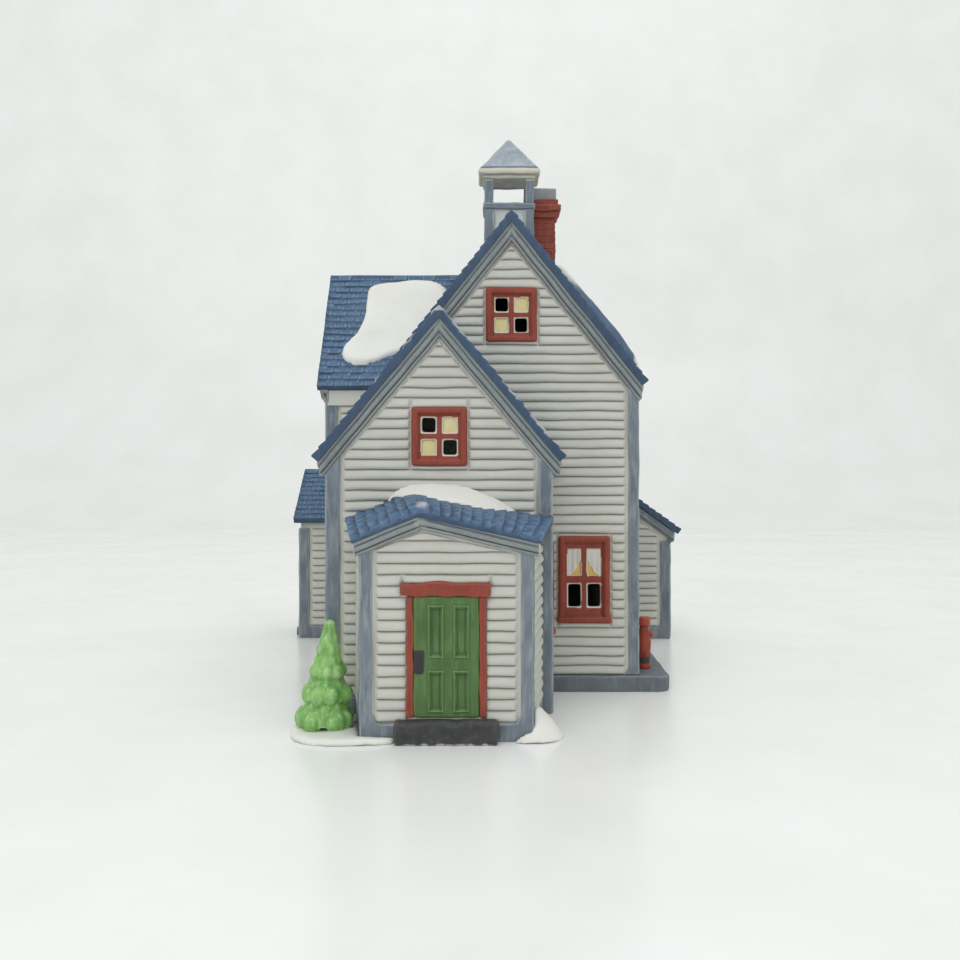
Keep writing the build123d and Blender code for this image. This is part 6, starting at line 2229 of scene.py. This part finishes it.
@dataclass
class Curtains:
    """Painted curtains in the tall windows: white cloth drawn to the sides over a lit pane."""

    node: str = "curtain_panes"
    rise_share: float = 0.62
    columns: int = 12
    rows: int = 8
    cloth_mm: float = 0.35
    fold_mm: float = 0.16
    folds: int = 5
    fold_fade: float = 0.6
    sweep_power: float = 1.9
    root_mm: float = 0.1
    round_mm: float = 0.12
    sharp_deg: float = 75.0

    def build(self) -> None:
        """Makes a lit pane and its cloth for each pane of the CAD node."""
        islands = self._islands()
        panes, cloths = bmesh.new(), bmesh.new()
        for i, (low, high) in enumerate(islands):
            thin = min(range(3), key=lambda axis: high[axis] - low[axis])
            across = Way.Y.value if thin == Way.X.value else Way.X.value
            self._pane(panes, low, high)
            self._cloth(cloths, low, high, thin, across, self._rises_high(islands, i, across))
        put("curtain_glow", mesh_of(panes, "curtain_glow"), [GLOW], "house", [self.node])
        put("curtain_cloth", mesh_of(cloths, "curtain_cloth", self.sharp_deg), [CURTAIN], "house", [])

    def _islands(self) -> list[tuple[Vector, Vector]]:
        """Boxes of the node's separate panes."""
        bm = welded(self.node)
        left, boxes = set(bm.verts), []
        while left:
            group, edge_of_group = set(), [left.pop()]
            while edge_of_group:
                vert = edge_of_group.pop()
                group.add(vert)
                near = {e.other_vert(vert) for e in vert.link_edges} & left
                left -= near
                edge_of_group += near
            low = Vector([min(v.co[a] for v in group) for a in range(3)])
            high = Vector([max(v.co[a] for v in group) for a in range(3)])
            boxes.append((low, high))
        bm.free()
        return sorted(boxes, key=lambda pair: tuple(round(c, 5) for c in pair[0]))

    @staticmethod
    def _rises_high(islands: Sequence[tuple[Vector, Vector]], index: int, across: int) -> bool:
        """Tells whether a pane's neighbour in the same window lies towards higher values.

        Args:
            islands: Boxes of all panes.
            index: Number of the pane.
            across: Index of the axis across it.

        Returns:
            True if it does.
        """
        low, high = islands[index]
        middle = (low + high) / 2
        others = [(a + b) / 2 for k, (a, b) in enumerate(islands) if k != index]
        nearest = min(others, key=lambda other: (other - middle).length)
        return nearest[across] > middle[across]

    def _pane(self, bm: BMesh, low: Vector, high: Vector) -> None:
        """Adds one pane with rounded edges.

        Args:
            bm: Bmesh that gets the pane.
            low: Low corner.
            high: High corner.
        """
        made = bmesh.ops.create_cube(bm, size=1.0)["verts"]
        for vert in made:
            vert.co = Vector([low[a] + (vert.co[a] + 0.5) * (high[a] - low[a]) for a in range(3)])
        edges = list(dict.fromkeys(edge for vert in made for edge in vert.link_edges))
        bmesh.ops.bevel(bm, geom=edges, offset=self.round_mm * MM, segments=2, profile=0.5, affect="EDGES")

    def _cloth(self, bm: BMesh, low: Vector, high: Vector, thin: int, across: int,
               rises_high: bool) -> None:
        """Adds the cloth of one pane: its lower edge sweeps up towards the middle of the window.

        Args:
            bm: Bmesh that gets the cloth.
            low: Low corner of the pane.
            high: High corner of the pane.
            thin: Index of the axis through the pane.
            across: Index of the axis across it.
            rises_high: Whether the window's middle lies towards higher values.
        """
        outer = high[thin] if abs(high[thin]) > abs(low[thin]) else low[thin]
        way = 1.0 if outer == high[thin] else -1.0
        rows = self.rows
        front, back = [], []
        for i in range(self.columns + 1):
            share = i / self.columns
            inward = share if rises_high else 1 - share
            hem = low.z + (high.z - low.z) * self.rise_share * inward ** self.sweep_power
            fold = sin(share * self.folds * pi) * self.fold_mm * MM
            line_front, line_back = [], []
            for j in range(rows + 1):
                spot = Vector((0, 0, 0))
                spot[across] = low[across] + (high[across] - low[across]) * share
                spot.z = hem + (high.z - hem) * j / rows
                spot[thin] = outer + way * (self.cloth_mm * MM + fold * (1 - self.fold_fade * j / rows))
                line_front.append(bm.verts.new(spot))
                spot[thin] = outer - way * self.root_mm * MM
                line_back.append(bm.verts.new(spot))
            front.append(line_front)
            back.append(line_back)
        for i in range(self.columns):
            for j in range(rows):
                bm.faces.new((front[i][j], front[i + 1][j], front[i + 1][j + 1], front[i][j + 1]))
                bm.faces.new((back[i][j], back[i][j + 1], back[i + 1][j + 1], back[i + 1][j]))
            for j in (0, rows):
                bm.faces.new((front[i][j], back[i][j], back[i + 1][j], front[i + 1][j]))
        for j in range(rows):
            for i in (0, self.columns):
                bm.faces.new((front[i][j], front[i][j + 1], back[i][j + 1], back[i][j]))
        bmesh.ops.recalc_face_normals(bm, faces=bm.faces)


@dataclass(frozen=True)
class SoftBox:
    """A square soft light: its place and what it is aimed at in metres, its width and its power."""

    name: str
    place: Point
    target: Point
    size: float
    power: float


@dataclass
class Studio:
    """Pale table that curves up into a backdrop, soft overhead light and the photograph's camera."""

    camera_mm: Point = (-2.8, -396.4, 82.5)
    focal_px: float = 1100.0
    frame_px: float = 960.0
    horizon_px: float = 440.0
    sensor_mm: float = 36.0
    table_back: float = 0.62
    sweep: float = 0.22
    half_width: float = 2.4
    table_front: float = -0.9
    wall_top: float = 1.6
    sweep_steps: int = 18
    mark_mm: float = 60.0
    mark_detail: float = 4.0
    mark_range: Pair = (0.3, 0.7)
    table_colours: tuple[str, str] = ("#eef0ed", "#f3f4f2")
    table_gloss: Pair = (0.2, 0.27)
    table_ior: float = 1.45
    sky: str = "#f6f8f8"
    sky_strength: float = 0.8
    nearest: float = 0.01
    boxes: tuple[SoftBox, ...] = (
        SoftBox("overhead", (0.1, -0.35, 1.2), (0.0, 0.05, 0.05), 1.1, 4.6),
        SoftBox("front_fill", (-0.6, -1.4, 0.6), (0.0, 0.0, 0.09), 1.0, 3.6),
    )

    def build(self) -> None:
        """Makes the stage, the lights and the camera."""
        self._table()
        self._world()
        for box in self.boxes:
            self._light(box)
        data = bpy.data.cameras.new("photograph")
        data.sensor_width = self.sensor_mm
        data.lens = self.focal_px / self.frame_px * self.sensor_mm
        data.shift_y = (self.horizon_px - self.frame_px / 2) / self.frame_px
        data.clip_start = self.nearest
        camera = bpy.data.objects.new("photograph", data)
        camera.location = Vector(self.camera_mm) * MM
        camera.rotation_euler = (pi / 2, 0.0, 0.0)
        bpy.context.scene.collection.objects.link(camera)
        bpy.context.scene.camera = camera
        bpy.context.scene.view_settings.view_transform = "Standard"

    def _table(self) -> None:
        """Makes the table and backdrop in one sheet."""
        line = [(self.table_front, 0.0), (self.table_back, 0.0)]
        for i in range(1, self.sweep_steps + 1):
            turn = pi / 2 * i / self.sweep_steps
            line.append((self.table_back + self.sweep * sin(turn), self.sweep * (1 - cos(turn))))
        line.append((self.table_back + self.sweep, self.wall_top))
        verts = [(x, y, z) for y, z in line for x in (-self.half_width, self.half_width)]
        faces = [(2 * i, 2 * i + 1, 2 * i + 3, 2 * i + 2) for i in range(len(line) - 1)]
        mesh = bpy.data.meshes.new("table")
        mesh.from_pydata(verts, [], faces)
        mesh.shade_smooth()
        table = bpy.data.objects.new("table", mesh)
        bpy.context.scene.collection.objects.link(table)
        # Lacquered white with a low gloss, which gives the house a soft reflection.
        paint = Painted("lacquered_white_table")
        marks = paint.blotches(self.mark_mm, self.mark_detail)
        colour = paint.lay(*(linear(colour) for colour in self.table_colours), marks, self.mark_range)
        lacquer = paint.close(colour, marks, self.mark_range, self.table_gloss, {"IOR": self.table_ior})
        mesh.materials.append(lacquer)

    def _world(self) -> None:
        """Even studio white, which the camera and clear surfaces see as the pale backdrop."""
        world = bpy.data.worlds.new("studio")
        world.use_nodes = True
        tree = world.node_tree
        tree.nodes.clear()
        sky = add(tree, "ShaderNodeBackground", {"Color": linear(self.sky), "Strength": self.sky_strength})
        add(tree, "ShaderNodeOutputWorld", {"Surface": sky.outputs["Background"]})
        bpy.context.scene.world = world

    @staticmethod
    def _light(box: SoftBox) -> None:
        """Adds one soft box.

        Args:
            box: The soft box.
        """
        data = bpy.data.lights.new(box.name, "AREA")
        data.shape = "SQUARE"
        data.size = box.size
        data.energy = box.power
        lamp = bpy.data.objects.new(box.name, data)
        lamp.location = box.place
        lamp.rotation_euler = (Vector(box.target) - Vector(box.place)).to_track_quat("-Z", "Y").to_euler()
        bpy.context.scene.collection.objects.link(lamp)


WINDOWS = (
    "main_front_window", "main_gable_window", "wing_gable_window", "wing_side_window", "rear_gable_window",
    "left_gable_window", "left_window", "right_window_front", "right_window_rear",
)


def main() -> None:
    """Builds the house piece by piece."""
    logging.basicConfig(level=logging.INFO, format="%(name)s: %(message)s")
    noise.seed_set(NOISE_SEED)
    Studio().build()
    Castings({"amber_panes": (AMBER, CRISP), "yard_pump": (PUMP, TURNED)}).build()
    Melted().build()
    Windows(WINDOWS).build()
    Doors().build()
    roofs = Roofs()
    roofs.build()
    Rakes(roofs).build()
    Walls(roofs).build()
    Curtains().build()
    Snow().build()
    Pine().build()
    Castings(
        {"lamp_socket": (SOCKET, TURNED), "lamp_clip": (SPRING, TURNED), "lamp_contact": (BRASS, TURNED)},
        "lamp",
    ).build()
    Castings({"bulb_base": (BRASS, TURNED), "bulb_glass": (GLASS, TURNED)}, "bulb").build()
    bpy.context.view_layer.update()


if __name__ == "__main__":
    main()
